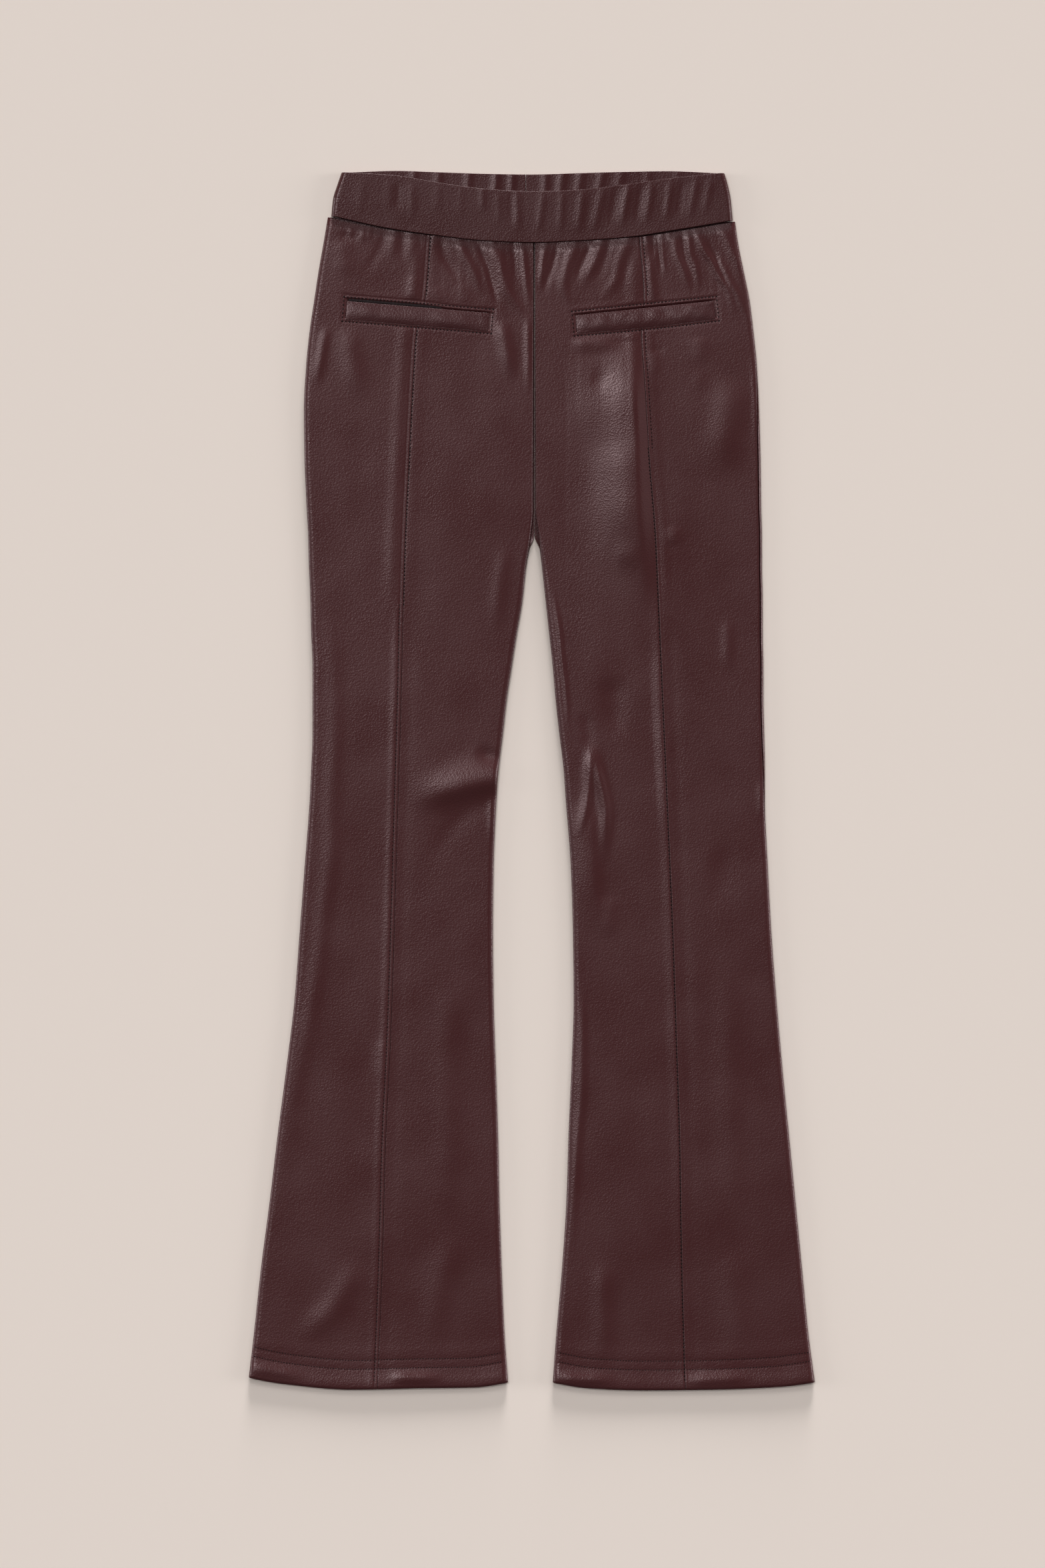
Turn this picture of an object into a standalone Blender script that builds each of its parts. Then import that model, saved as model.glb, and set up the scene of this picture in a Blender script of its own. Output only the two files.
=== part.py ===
"""Faux leather flared leggings, laid out flat.

The garment lies on its back at z = 0 with the waist toward +Y. Sizes in the tables are
millimetres. A "drop" is measured down the garment from the top of the back waistband, and x
runs across it, negative on the side that lies on the viewer's left. Every piece of cloth is an
open surface, worked out from these tables and thickened inward by a Solidify modifier.
"""

import math

import bpy
import numpy as np

NAME = "faux_leather_flared_leggings"
MM = 0.001

# Driving dimensions, mm.
LENGTH = 841.5
WALL = 1.2
HEM_WALL = 2.0
HEM_DEPTH = 21.0
BAND_WALL = 2.6
BAND_RISE = 6.2
BAND_BACK_GATHER = 0.8
LEG_RISE = 4.6
FOLD_MID = 2.2
FOLD_REACH = 3.6
SEAM_GAP = 0.3
HALF_GAP_ANGLE = 3.7
UPRIGHT_ANGLE = 9.0
CENTRE_X = 2.0
CENTRE_DIP = 1.3
BAND_JOIN_X = -4.0
FRONT_CROTCH = 234.0
BACK_CROTCH = 257.0
TUCK_WIDTH = 1.8
TUCK_FOOT = 1.2
TUCK_RISE = 0.8
BAND_PULL = 1.1
BAND_PULL_RUN = 7.0
HEM_PUFF = 0.5
HEM_PUFF_RUN = 49.0
STITCH_GROOVE = 0.35
STITCH_GROOVE_WIDTH = 5.0
STITCHES_FROM_EDGE = 17.0
BACK_LINING_WAVE = 0.16
BACK_LINING_PITCH = 31.0
WELT_DEPTH = 12.4
WELT_EDGE = 1.0
WELT_PUFF = 0.7
FACING_DEPTH = 1.8
FACING_WALL = 0.7

# Colours of the faux leather, linear.
LEATHER = (0.067, 0.029, 0.030, 1.0)
LEATHER_INSIDE = (0.045, 0.022, 0.023, 1.0)

# Outline of the legs: drop, left side, left inner edge, right inner edge, right side.
OUTLINE = (
    (32, -140.5, 2.0, 2.0, 140.0),
    (50, -143.5, 2.0, 2.0, 142.5),
    (70, -147.0, 2.0, 2.0, 146.5),
    (90, -150.0, 2.0, 2.0, 150.5),
    (110, -153.0, 2.0, 2.0, 153.0),
    (135, -155.5, 2.0, 2.0, 155.5),
    (165, -157.0, 2.0, 2.0, 157.0),
    (200, -156.5, 2.0, 2.0, 158.0),
    (234, -155.0, 2.0, 2.0, 158.5),
    (253, -154.0, 0.0, 4.5, 159.0),
    (273, -153.5, -3.5, 7.0, 159.0),
    (296, -152.5, -6.0, 9.5, 159.5),
    (319, -152.0, -10.0, 12.0, 159.5),
    (342, -151.0, -13.5, 14.5, 160.0),
    (365, -151.0, -17.0, 16.5, 160.0),
    (388, -151.0, -19.5, 19.0, 160.5),
    (413, -152.0, -22.5, 22.0, 161.0),
    (434, -153.0, -24.0, 23.5, 161.0),
    (480, -156.5, -26.0, 27.0, 163.0),
    (526, -160.0, -26.5, 28.5, 165.5),
    (572, -163.5, -26.0, 29.0, 169.0),
    (618, -169.0, -24.5, 27.5, 173.0),
    (664, -175.0, -23.0, 25.5, 177.5),
    (710, -180.5, -22.0, 24.0, 182.0),
    (756, -186.5, -20.5, 21.0, 186.5),
    (802, -191.5, -18.5, 17.0, 191.0),
    (836, -195.5, -16.0, 14.5, 195.5),
)
OUTLINE_COLUMNS = ("drop", "left_side", "left_inner", "right_inner", "right_side")

# Seam that joins each front's side piece to its centre piece: drop, left x, right x.
FRONT_SEAM = (
    (45, -70.0, 75.0),
    (92, -75.0, 78.0),
    (108, -80.0, 77.0),
    (166, -83.0, 80.0),
    (234, -88.0, 84.5),
    (296, -89.5, 87.5),
    (384, -92.0, 92.5),
    (463, -94.5, 96.0),
    (572, -98.0, 99.5),
    (697, -102.0, 103.5),
    (841, -107.5, 107.0),
)

# Edge of the hem: share of the way from the side to the inner edge, drop left, drop right.
HEM_EDGE = (
    (0.0, 832.0, 835.5),
    (0.15, 837.0, 839.0),
    (0.4, 841.0, 841.0),
    (0.65, 840.0, 841.5),
    (0.85, 839.5, 840.0),
    (1.0, 835.5, 835.5),
)

# Waistband's edges: x, then the drops of front top, front bottom, back top and back bottom.
BAND_EDGES = (
    (-139, 1.5, 32.0, 1.5, 32.0),
    (-101, 3.7, 40.0, 0.3, 35.0),
    (-68, 8.7, 44.7, 1.3, 36.5),
    (-34, 12.9, 48.4, 2.3, 37.0),
    (0, 14.7, 49.7, 2.8, 37.0),
    (34, 13.5, 48.4, 1.9, 37.0),
    (68, 9.8, 46.0, 1.0, 36.5),
    (101, 5.6, 41.2, 0.5, 36.0),
    (139, 2.0, 35.0, 2.0, 35.0),
)

# Sides of the waistband: drop, left, right.
BAND_SIDES = (
    (0, -130.5, 132.5),
    (10, -134.0, 135.5),
    (20, -137.0, 137.5),
    (36, -138.5, 139.0),
)

# How far the side seam has rolled onto the front, in degrees about the folded edge:
# drop, left, right.
SEAM_ROLL = (
    (32, 0, 0),
    (105, 0, 10),
    (190, 0, 60),
    (380, 0, 60),
    (480, 0, 10),
    (541, 0, 0),
    (841, 0, 0),
)

# Welts: x and drop of the upper corner toward the side, then of the one toward the centre,
# and how far the lower edge bows down in its middle.
WELTS = {
    "left": (-127.5, 90.0, -28.5, 98.3, 0.0),
    "right": (126.0, 89.8, 30.0, 99.8, 0.8),
}
WELT_COLUMNS = 25
WELT_ROWS = 6
FACING_ENDS = (0.02, 0.65)
FACING_COLUMNS = 16

# Gathers and creases of the fronts: x and drop of the start, x and drop of the end, half
# width, height (negative for a trough), and how far the middle bows toward +x.
CREASES = (
    (-109, 36, -119, 74, 4.5, 0.9, 1),
    (-95, 38, -103, 68, 4.5, 0.8, 0),
    (-82, 38, -85, 84, 4.5, 0.6, 0),
    (-60, 42, -57, 76, 4.5, 0.5, 0),
    (-51, 43, -38, 80, 4.5, 0.8, 0),
    (-27, 46, -4, 130, 5.0, 1.0, 2),
    (-11, 48, -2, 90, 4.5, 0.7, 0),
    (11, 46, 4, 79, 4.5, 0.9, 0),
    (25, 45, 17, 86, 4.5, 0.9, 0),
    (39, 43, 34, 70, 4.0, 0.6, 0),
    (51, 42, 46, 68, 4.0, 0.5, 0),
    (65, 40, 64, 76, 4.5, 0.5, 0),
    (86, 40, 87, 68, 4.0, -0.9, 0),
    (94, 38, 98, 70, 4.0, 0.7, 0),
    (104, 38, 109, 70, 4.0, 0.6, 0),
    (114, 36, 135, 105, 5.0, 0.9, 0),
    (128, 34, 137, 68, 4.5, 0.7, 0),
    (-129, 104, -127, 148, 9.0, 0.6, 0),
    (-38, 112, -70, 165, 10.0, 0.5, 4),
    (44, 118, 62, 134, 9.0, -0.8, 0),
    (60, 118, 68, 240, 10.0, 0.7, 0),
    (-9, 120, -5, 240, 6.0, 0.6, 0),
    (22, 160, 16, 250, 8.0, 0.4, 0),
    (-142, 285, -158, 580, 9.0, 0.6, 4),
    (-100, 440, -104, 600, 7.0, 0.5, 0),
    (87, 300, 93, 470, 6.0, 0.5, 0),
    (18, 300, 24, 400, 6.0, 0.4, 0),
    (33, 560, 34, 690, 8.0, 0.4, 0),
    (-22, 410, -74, 468, 7.0, -1.0, -3),
    (-78, 412, -24, 398, 11.0, 0.8, 0),
    (38, 400, 33, 456, 5.0, -1.0, -2),
    (39, 402, 51, 458, 5.0, -1.0, 1),
    (36, 452, 39, 520, 11.0, 0.8, 0),
    (36, 372, 38, 404, 6.0, -0.7, 0),
    (120, 500, 128, 700, 12.0, 0.5, 0),
    (-60, 540, -64, 760, 12.0, 0.5, 0),
    (-158, 760, -150, 822, 14.0, 0.6, 0),
    (43, 770, 46, 826, 12.0, 0.6, 0),
    (-70, 770, -76, 826, 12.0, 0.4, 0),
    (140, 780, 146, 826, 12.0, 0.4, 0),
)

# Gathers that the elastic draws into the waistband: x at the top, x at the bottom, half
# width, height.
BAND_GATHERS = (
    (-118, -122, 5.0, 0.3),
    (-92, -96, 5.0, 0.25),
    (-70, -73, 5.0, 0.3),
    (-46, -48, 4.5, 0.35),
    (-24, -25, 4.5, 0.4),
    (-6, -7, 4.5, 0.45),
    (12, 10, 4.5, 0.5),
    (30, 27, 4.5, 0.5),
    (48, 44, 4.5, 0.5),
    (66, 61, 4.5, 0.5),
    (84, 79, 4.5, 0.45),
    (102, 97, 4.5, 0.45),
    (119, 115, 4.5, 0.35),
)

# Rows of a leg: share of the way from the waistband to the hem, and rows up to there.
ROW_RUNS = ((0.0, 0), (0.012, 2), (0.05, 3), (0.14, 6), (0.24, 4), (0.3, 3), (0.55, 8), (0.95, 8))
HEM_ROWS = (0.966, 0.9745, 0.985, 0.996, 1.0)
SIDE_ANGLES = (0, 5, 35, 65, 90)
INNER_ANGLES = (60, 30, 5, 0)
BACK_ANGLES = (-90, -60, -30, -5, 0)
SIDE_PIECE_COLUMNS = 8
CENTRE_PIECE_COLUMNS = 11
BACK_COLUMNS = 3
BAND_ROWS = 5
BAND_FRONT_COLUMNS = 44
BAND_BACK_COLUMNS = 16


def through(at, rows, column):
    """A smooth curve, with no overshoot, through one column of a table against its first."""
    knots = np.array([row[0] for row in rows], float)
    values = np.array([row[column] for row in rows], float)
    steps = np.diff(values) / np.diff(knots)
    slopes = np.concatenate([steps[:1], np.zeros(len(steps) - 1), steps[-1:]])
    steady = steps[:-1] * steps[1:] > 0
    slopes[1:-1][steady] = (2 * steps[:-1] * steps[1:])[steady] / (steps[:-1] + steps[1:])[steady]
    at = np.clip(np.asarray(at, float), knots[0], knots[-1])
    cell = np.clip(np.searchsorted(knots, at) - 1, 0, len(knots) - 2)
    width = knots[cell + 1] - knots[cell]
    t = (at - knots[cell]) / width
    return (
        values[cell] * (2 * t**3 - 3 * t**2 + 1)
        + slopes[cell] * width * (t**3 - 2 * t**2 + t)
        + values[cell + 1] * (3 * t**2 - 2 * t**3)
        + slopes[cell + 1] * width * (t**3 - t**2)
    )


def ease(value, start, end):
    """0 before start, 1 after end, and a smooth step between."""
    t = np.clip((np.asarray(value, float) - start) / (end - start), 0, 1)
    return t * t * (3 - 2 * t)


def outline(drop, column):
    return through(drop, OUTLINE, OUTLINE_COLUMNS.index(column))


def welt_place(x, drop, which):
    """Where a point lies on a welt: along it from its side end, and down from its top edge."""
    side_x, side_drop, centre_x, centre_drop, _ = WELTS[which]
    run = np.array([centre_x - side_x, centre_drop - side_drop])
    length = np.hypot(*run)
    run = run / length
    down = np.array([-run[1], run[0]]) * np.sign(run[0])
    along = (x - side_x) * run[0] + (drop - side_drop) * run[1]
    below = (x - side_x) * down[0] + (drop - side_drop) * down[1]
    return along, below, length, run, down


def away_from_welts(x, drop):
    """1 on the open panel, and 0 where a welt lies on it."""
    clear = np.ones(np.broadcast(x, drop).shape)
    for which in WELTS:
        along, below, length, _, _ = welt_place(x, drop, which)
        outside = np.maximum(
            np.maximum(-along - 3, along - length - 3),
            np.maximum(-below - 5, below - WELT_DEPTH - 3),
        )
        clear = clear * ease(outside, 0, 12)
    return clear


def crease_rise(x, drop):
    """How far the gathers and creases lift the fronts here."""
    rise = np.zeros(np.broadcast(x, drop).shape)
    for x0, drop0, x1, drop1, half_width, height, bow in CREASES:
        run = np.array([x1 - x0, drop1 - drop0], float)
        length = np.hypot(*run)
        run = run / length
        share = ((x - x0) * run[0] + (drop - drop0) * run[1]) / length
        across = (x - x0) * run[1] - (drop - drop0) * run[0]
        across = across - bow * 4 * share * (1 - share)
        fade = np.clip(1 - np.abs(2 * share - 1) ** 3, 0, 1)
        rise = rise + height * fade * np.exp(-((across / half_width) ** 2))
    return rise * away_from_welts(x, drop)


def rise_of_front(x, drop):
    """Height of a front's outer face, away from its folded edges."""
    band_seam = through(np.clip(x, -139, 139), BAND_EDGES, 2)
    below_seam = np.clip((drop - band_seam) / BAND_PULL_RUN, 0, 1)
    pulled_in = BAND_PULL * (1 - np.sqrt(1 - (1 - below_seam) ** 2))
    turn_up = LENGTH - HEM_DEPTH
    puffed = HEM_PUFF * ease(drop, turn_up - HEM_PUFF_RUN, turn_up)
    from_stitches = drop - (LENGTH - STITCHES_FROM_EDGE)
    stitched = STITCH_GROOVE * np.exp(-((from_stitches / STITCH_GROOVE_WIDTH) ** 2))
    return LEG_RISE + crease_rise(x, drop) - pulled_in + puffed - stitched


def leg_rows():
    """Shares of the way down a leg, closer together at the waist and at the hem."""
    shares = [0.0]
    for (start, _), (end, count) in zip(ROW_RUNS, ROW_RUNS[1:]):
        shares.extend(start + (end - start) * (i + 1) / count for i in range(count))
    return np.array(shares + list(HEM_ROWS))


def drops_of_rows(which, share_across, seam_column):
    """The drop of each row where it crosses this share of the leg, from side to inner edge."""
    side = outline(32, which + "_side")
    x_at_band = side + (CENTRE_X - side) * share_across
    top = through(x_at_band, BAND_EDGES, seam_column) + SEAM_GAP
    hem = through(share_across, HEM_EDGE, 1 if which == "left" else 2)
    return top + (hem - top) * leg_rows()


def mesh_object(name, grid, normals_up, wall, collection, material):
    """An open surface from a grid of points in mm, thickened inward by wall, one value a point."""
    rows, columns, _ = grid.shape
    points = grid.reshape(-1, 3) * MM
    faces = []
    for i in range(rows - 1):
        for j in range(columns - 1):
            a = i * columns + j
            face = (a, a + columns, a + columns + 1, a + 1)
            faces.append(face if normals_up else face[::-1])
    mesh = bpy.data.meshes.new(name)
    mesh.from_pydata([tuple(p) for p in points], [], faces)
    mesh.shade_smooth()
    mesh.materials.append(material)
    piece = bpy.data.objects.new(name, mesh)
    collection.objects.link(piece)

    wall = np.broadcast_to(wall, (rows, columns)).reshape(-1)
    group = piece.vertex_groups.new(name="wall")
    for i, thickness in enumerate(wall):
        group.add([i], float(thickness / wall.max()), "REPLACE")
    solid = piece.modifiers.new("wall", "SOLIDIFY")
    solid.thickness = float(wall.max()) * MM
    solid.offset = -1
    solid.use_even_offset = False
    solid.use_quality_normals = True
    solid.vertex_group = "wall"
    return piece


def leather(name, colour=LEATHER, roughness=0.42):
    material = bpy.data.materials.new(name)
    material.use_nodes = True
    surface = material.node_tree.nodes["Principled BSDF"]
    surface.inputs["Base Color"].default_value = colour
    surface.inputs["Roughness"].default_value = roughness
    surface.inputs["Metallic"].default_value = 0.0
    return material


def place(x, drop, z):
    """Garment x, drop and height to the part's own frame, in mm."""
    return np.stack(np.broadcast_arrays(x, LENGTH / 2 - drop, z), axis=-1)


def fold_reach(angle):
    """How far in from its silhouette a folded edge is at this angle: it stands upright at 0."""
    turn = np.clip(np.abs(angle) - UPRIGHT_ANGLE, 0, 90) * 90 / (90 - UPRIGHT_ANGLE)
    return FOLD_REACH * (1 - np.cos(np.radians(turn)))


def folded_side(which, drop, angle):
    """A point on the folded side edge: 90 degrees is the front face, -90 the face below."""
    inward = 1 if which == "left" else -1
    x = outline(drop, which + "_side") + inward * fold_reach(angle)
    lift = np.where(angle > 0, rise_of_front(x, drop) - FOLD_MID, FOLD_MID)
    return x, FOLD_MID + lift * np.sin(np.radians(angle))


def seam_angles(which, drop, angles, upward):
    """The fold's angles for one panel, starting at the side seam, which rolls along the leg."""
    seam = through(drop, SEAM_ROLL, 1 if which == "left" else 2)
    half_gap = HALF_GAP_ANGLE * (1 + 1.1 * ease(seam, 1, 12))
    start, end = angles[0], angles[-1]
    if upward:
        seam = seam + half_gap
        return [seam + (end - seam) * (a - start) / (end - start) for a in angles]
    seam = seam - half_gap
    return [start + (seam - start) * (a - start) / (end - start) for a in angles]


def folded_inner_edge(which, drop, angle):
    """A point on a front's inner edge, which dips to the centre seam, then folds to the inseam."""
    inward = 1 if which == "left" else -1
    x = outline(drop, which + "_inner") - inward * SEAM_GAP / 2
    x = x - inward * fold_reach(angle)
    face = rise_of_front(x, drop)
    parted = ease(drop, FRONT_CROTCH - 8, FRONT_CROTCH + 58)
    edge = (face - CENTRE_DIP) * (1 - parted) + (FOLD_MID + SEAM_GAP / 2) * parted
    return x, edge + (face - edge) * math.sin(math.radians(angle))


def front_seam_x(which, drop):
    return through(drop, FRONT_SEAM, 1 if which == "left" else 2)


def front_side(which):
    """The side piece of a front, with the raised, edge-stitched tuck along the front seam."""
    inward = 1 if which == "left" else -1
    columns = []
    for i, _ in enumerate(SIDE_ANGLES):
        drop = drops_of_rows(which, 0.012 * i, 2)
        angle = seam_angles(which, drop, SIDE_ANGLES, True)[i]
        x, z = folded_side(which, drop, angle)
        columns.append(place(x, drop, z))
    for i in range(1, SIDE_PIECE_COLUMNS + 3):
        share = i / SIDE_PIECE_COLUMNS
        drop = drops_of_rows(which, 0.5 * min(share, 1.0), 2)
        start = outline(drop, which + "_side") + inward * FOLD_REACH
        seam = front_seam_x(which, drop) - inward * SEAM_GAP / 2
        end = seam - inward * (TUCK_WIDTH + TUCK_FOOT)
        raised = TUCK_RISE * away_from_welts(seam, drop)
        if i <= SIDE_PIECE_COLUMNS:
            x = start + (end - start) * share
            z = rise_of_front(x, drop)
        elif i == SIDE_PIECE_COLUMNS + 1:
            x = seam - inward * TUCK_WIDTH
            z = rise_of_front(x, drop) + raised
        else:
            x = seam
            z = rise_of_front(x, drop) + raised
        columns.append(place(x, drop, z))
    return np.stack(columns, axis=1)


def front_centre(which):
    """The centre piece of a front, from the front seam to centre front and the inseam."""
    inward = 1 if which == "left" else -1
    columns = []
    for i in range(CENTRE_PIECE_COLUMNS + 1):
        share = i / CENTRE_PIECE_COLUMNS
        drop = drops_of_rows(which, 0.5 + 0.48 * share, 2)
        edge = outline(drop, which + "_inner") - inward * SEAM_GAP / 2
        start = front_seam_x(which, drop) + inward * SEAM_GAP / 2
        x = start + (edge - inward * FOLD_REACH - start) * share
        columns.append(place(x, drop, rise_of_front(x, drop)))
    for i, angle in enumerate(INNER_ANGLES):
        drop = drops_of_rows(which, 0.985 + 0.005 * i, 2)
        x, z = folded_inner_edge(which, drop, angle)
        columns.append(place(x, drop, z))
    return np.stack(columns, axis=1)


def back(which):
    """A back leg: flat underneath, and curled up at its side and inner edges to the seams."""
    inward = 1 if which == "left" else -1
    columns = []
    for i in range(len(BACK_ANGLES)):
        drop = drops_of_rows(which, 0.0, 4)
        angle = seam_angles(which, drop, BACK_ANGLES, False)[-1 - i]
        x, z = folded_side(which, drop, angle)
        columns.append(place(x, drop, z))
    for i in range(1, BACK_COLUMNS + 1):
        share = i / BACK_COLUMNS
        drop = drops_of_rows(which, share, 4)
        start = outline(drop, which + "_side") + inward * FOLD_REACH
        end = back_inner(which, drop) - inward * FOLD_REACH
        columns.append(place(start + (end - start) * share, drop, 0.0))
    for angle in BACK_ANGLES[1:]:
        drop = drops_of_rows(which, 1.0, 4)
        parted = ease(drop, BACK_CROTCH - 7, BACK_CROTCH + 18)
        flat = FOLD_REACH * abs(angle) / 90
        x = back_inner(which, drop) - inward * (flat + (fold_reach(angle) - flat) * parted)
        z = parted * (FOLD_MID - SEAM_GAP / 2) * (1 + math.sin(math.radians(angle)))
        columns.append(place(x, drop, z))
    return np.stack(columns, axis=1)


def back_inner(which, drop):
    """A back's inner edge: the centre back seam down to the crotch, and then the inseam."""
    inward = 1 if which == "left" else -1
    parted = ease(drop, BACK_CROTCH - 5, BACK_CROTCH + 5)
    edge = outline(drop, which + "_inner")
    return CENTRE_X + (edge - CENTRE_X) * parted - inward * SEAM_GAP / 2


def leg_wall(grid, lining_wave):
    """Wall of a leg piece: two layers at the hem, one at its folded edges and above."""
    x = grid[..., 0]
    drop = LENGTH / 2 - grid[..., 1]
    wave = np.sin(x / BACK_LINING_PITCH) * np.cos(drop / BACK_LINING_PITCH)
    wall = WALL + lining_wave * (1 + wave)
    wall[:, [0, 1, -2, -1]] = WALL
    wall[1 - len(HEM_ROWS):, 4:-4] = HEM_WALL
    return wall


def waistband():
    """The band's one strip: round both sides from the centre back join, which stays open."""
    stations = []
    for i in range(BAND_BACK_COLUMNS):
        stations.append(("back", i / BAND_BACK_COLUMNS, -90))
    for angle in (-90, -55, -18, 18, 55, 90):
        stations.append(("left", 0, angle))
    for i in range(1, BAND_FRONT_COLUMNS):
        stations.append(("front", i / BAND_FRONT_COLUMNS, 90))
    for angle in (90, 55, 18, -18, -55, -90):
        stations.append(("right", 0, angle))
    for i in range(1, BAND_BACK_COLUMNS + 1):
        stations.append(("return", i / BAND_BACK_COLUMNS, -90))

    radius = BAND_RISE / 2
    width_left, width_right = BAND_EDGES[0][0], BAND_EDGES[-1][0]
    columns = []
    walls = []
    down = np.linspace(0, 1, BAND_ROWS)
    for part, share, angle in stations:
        front = (1 + math.sin(math.radians(angle))) / 2
        start, end = {
            "back": (BAND_JOIN_X, width_left),
            "left": (width_left, width_left),
            "front": (width_left, width_right),
            "right": (width_right, width_right),
            "return": (width_right, BAND_JOIN_X),
        }[part]
        near = start + (end - start) * share
        top = band_edge(near, 3) * (1 - front) + band_edge(near, 1) * front
        bottom = band_edge(near, 4) * (1 - front) + band_edge(near, 2) * front
        drop = top + (bottom - top) * down
        left = through(drop, BAND_SIDES, 1)
        right = through(drop, BAND_SIDES, 2)
        if part == "back":
            join = BAND_JOIN_X - SEAM_GAP / 2
            x = join + (left + radius - join) * share
        elif part == "left":
            x = left + radius * (1 - math.cos(math.radians(angle)))
        elif part == "front":
            x = left + radius + (right - left - 2 * radius) * share
        elif part == "right":
            x = right - radius * (1 - math.cos(math.radians(angle)))
        else:
            join = BAND_JOIN_X + SEAM_GAP / 2
            x = right - radius + (join - right + radius) * share
        gathered = band_gathers(x, down)
        z = radius + radius * math.sin(math.radians(angle)) + gathered * (part == "front")
        columns.append(place(x, drop, z))
        walls.append(BAND_WALL + gathered * BAND_BACK_GATHER * (part in ("back", "return")))
    return np.stack(columns, axis=1), np.stack(walls, axis=1)


def band_edge(x, column):
    return float(through(x, BAND_EDGES, column))


def band_gathers(x, down):
    rise = np.zeros(np.shape(x))
    for top_x, bottom_x, half_width, height in BAND_GATHERS:
        middle = top_x + (bottom_x - top_x) * down
        rise = rise + height * np.exp(-(((x - middle) / half_width) ** 2))
    return rise


def strip_on_front(which, ends, top, bottom, rise):
    """A strip that lies on a front: its points are the panel's, moved out by rise."""
    side_x, side_drop, _, _, bow = WELTS[which]
    _, _, length, run, down = welt_place(0, 0, which)
    rows, columns = rise.shape
    share = np.linspace(ends[0], ends[1], columns)
    along = share * length
    lower_edge = bottom + bow * 4 * share * (1 - share)
    below = top + (lower_edge - top) * np.linspace(0, 1, rows)[:, None]
    x = side_x + along * run[0] + below * down[0]
    drop = side_drop + along * run[1] + below * down[1]
    return place(x, drop, rise_of_front(x, drop) + SEAM_GAP + rise)


def welt_rise():
    """Height of a padded welt above its panel: it swells in the middle and ends low."""
    across = np.linspace(-1, 1, WELT_ROWS)[:, None]
    along = np.linspace(-1, 1, WELT_COLUMNS)
    return WELT_EDGE + WELT_PUFF * (1 - across**2) * (1 - along**8)


def clear_scene():
    for old in list(bpy.data.objects):
        bpy.data.objects.remove(old, do_unlink=True)
    for collection in list(bpy.data.collections):
        bpy.data.collections.remove(collection)


def build():
    clear_scene()
    collection = bpy.data.collections.new(NAME)
    bpy.context.scene.collection.children.link(collection)

    band_grid, band_wall = waistband()
    mesh_object("waistband", band_grid, True, band_wall, collection, leather("waistband"))

    for which in ("left", "right"):
        up = which == "left"
        for name, grid, faces_up in (
            ("front_side_" + which, front_side(which), up),
            ("front_centre_" + which, front_centre(which), up),
            ("back_" + which, back(which), not up),
        ):
            lining_wave = BACK_LINING_WAVE if name.startswith("back") else 0.0
            wall = leg_wall(grid, lining_wave)
            mesh_object(name, grid, faces_up, wall, collection, leather(name))
        rise = welt_rise()
        welt = strip_on_front(which, (0, 1), 0, WELT_DEPTH, rise)
        mesh_object("welt_" + which, welt, up, rise, collection, leather("welt_" + which))

    rise = np.full((2, FACING_COLUMNS), FACING_WALL)
    facing = strip_on_front("left", FACING_ENDS, -FACING_DEPTH - SEAM_GAP, -SEAM_GAP, rise)
    inside = leather("pocket_facing_left", LEATHER_INSIDE, 0.6)
    mesh_object("pocket_facing_left", facing, True, FACING_WALL, collection, inside)


build()
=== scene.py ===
# %% [markdown]
# # Faux leather flared leggings, laid out flat
#
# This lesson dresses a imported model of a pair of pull-on leggings. The model already has every
# cut piece in its place and size. What it lacks is what makes cloth look like cloth: gathers,
# puckered seams, rows of stitches and the satin grain of coated fabric. Each piece is made
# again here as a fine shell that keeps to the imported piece's form, and then takes its place.

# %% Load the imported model
import math

import bpy
import numpy as np
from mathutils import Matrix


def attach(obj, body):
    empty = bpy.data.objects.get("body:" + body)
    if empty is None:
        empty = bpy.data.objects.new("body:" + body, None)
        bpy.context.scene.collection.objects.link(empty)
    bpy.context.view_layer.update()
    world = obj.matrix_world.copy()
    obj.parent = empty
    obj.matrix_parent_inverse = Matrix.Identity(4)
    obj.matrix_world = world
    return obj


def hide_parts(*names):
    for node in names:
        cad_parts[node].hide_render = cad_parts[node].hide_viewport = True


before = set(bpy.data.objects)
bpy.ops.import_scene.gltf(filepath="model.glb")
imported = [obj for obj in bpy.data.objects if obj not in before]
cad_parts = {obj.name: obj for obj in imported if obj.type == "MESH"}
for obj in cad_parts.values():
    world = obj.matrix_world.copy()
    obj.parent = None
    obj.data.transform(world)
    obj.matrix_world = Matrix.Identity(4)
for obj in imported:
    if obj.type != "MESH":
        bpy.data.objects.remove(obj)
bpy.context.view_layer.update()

MM = 0.001

# %% [markdown]
# ## The pattern
#
# A maker works from a paper pattern, so the lesson does too. A "drop" is measured down the
# garment from the top of the back waistband, and x runs across it, negative on the viewer's
# left. The outline could be drawn as a Bezier curve, but then no other piece could ask where
# the edge is. Tables hold it instead, at named drops and in millimetres, and a smooth curve
# goes through them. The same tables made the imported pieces, so both agree everywhere.

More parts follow.
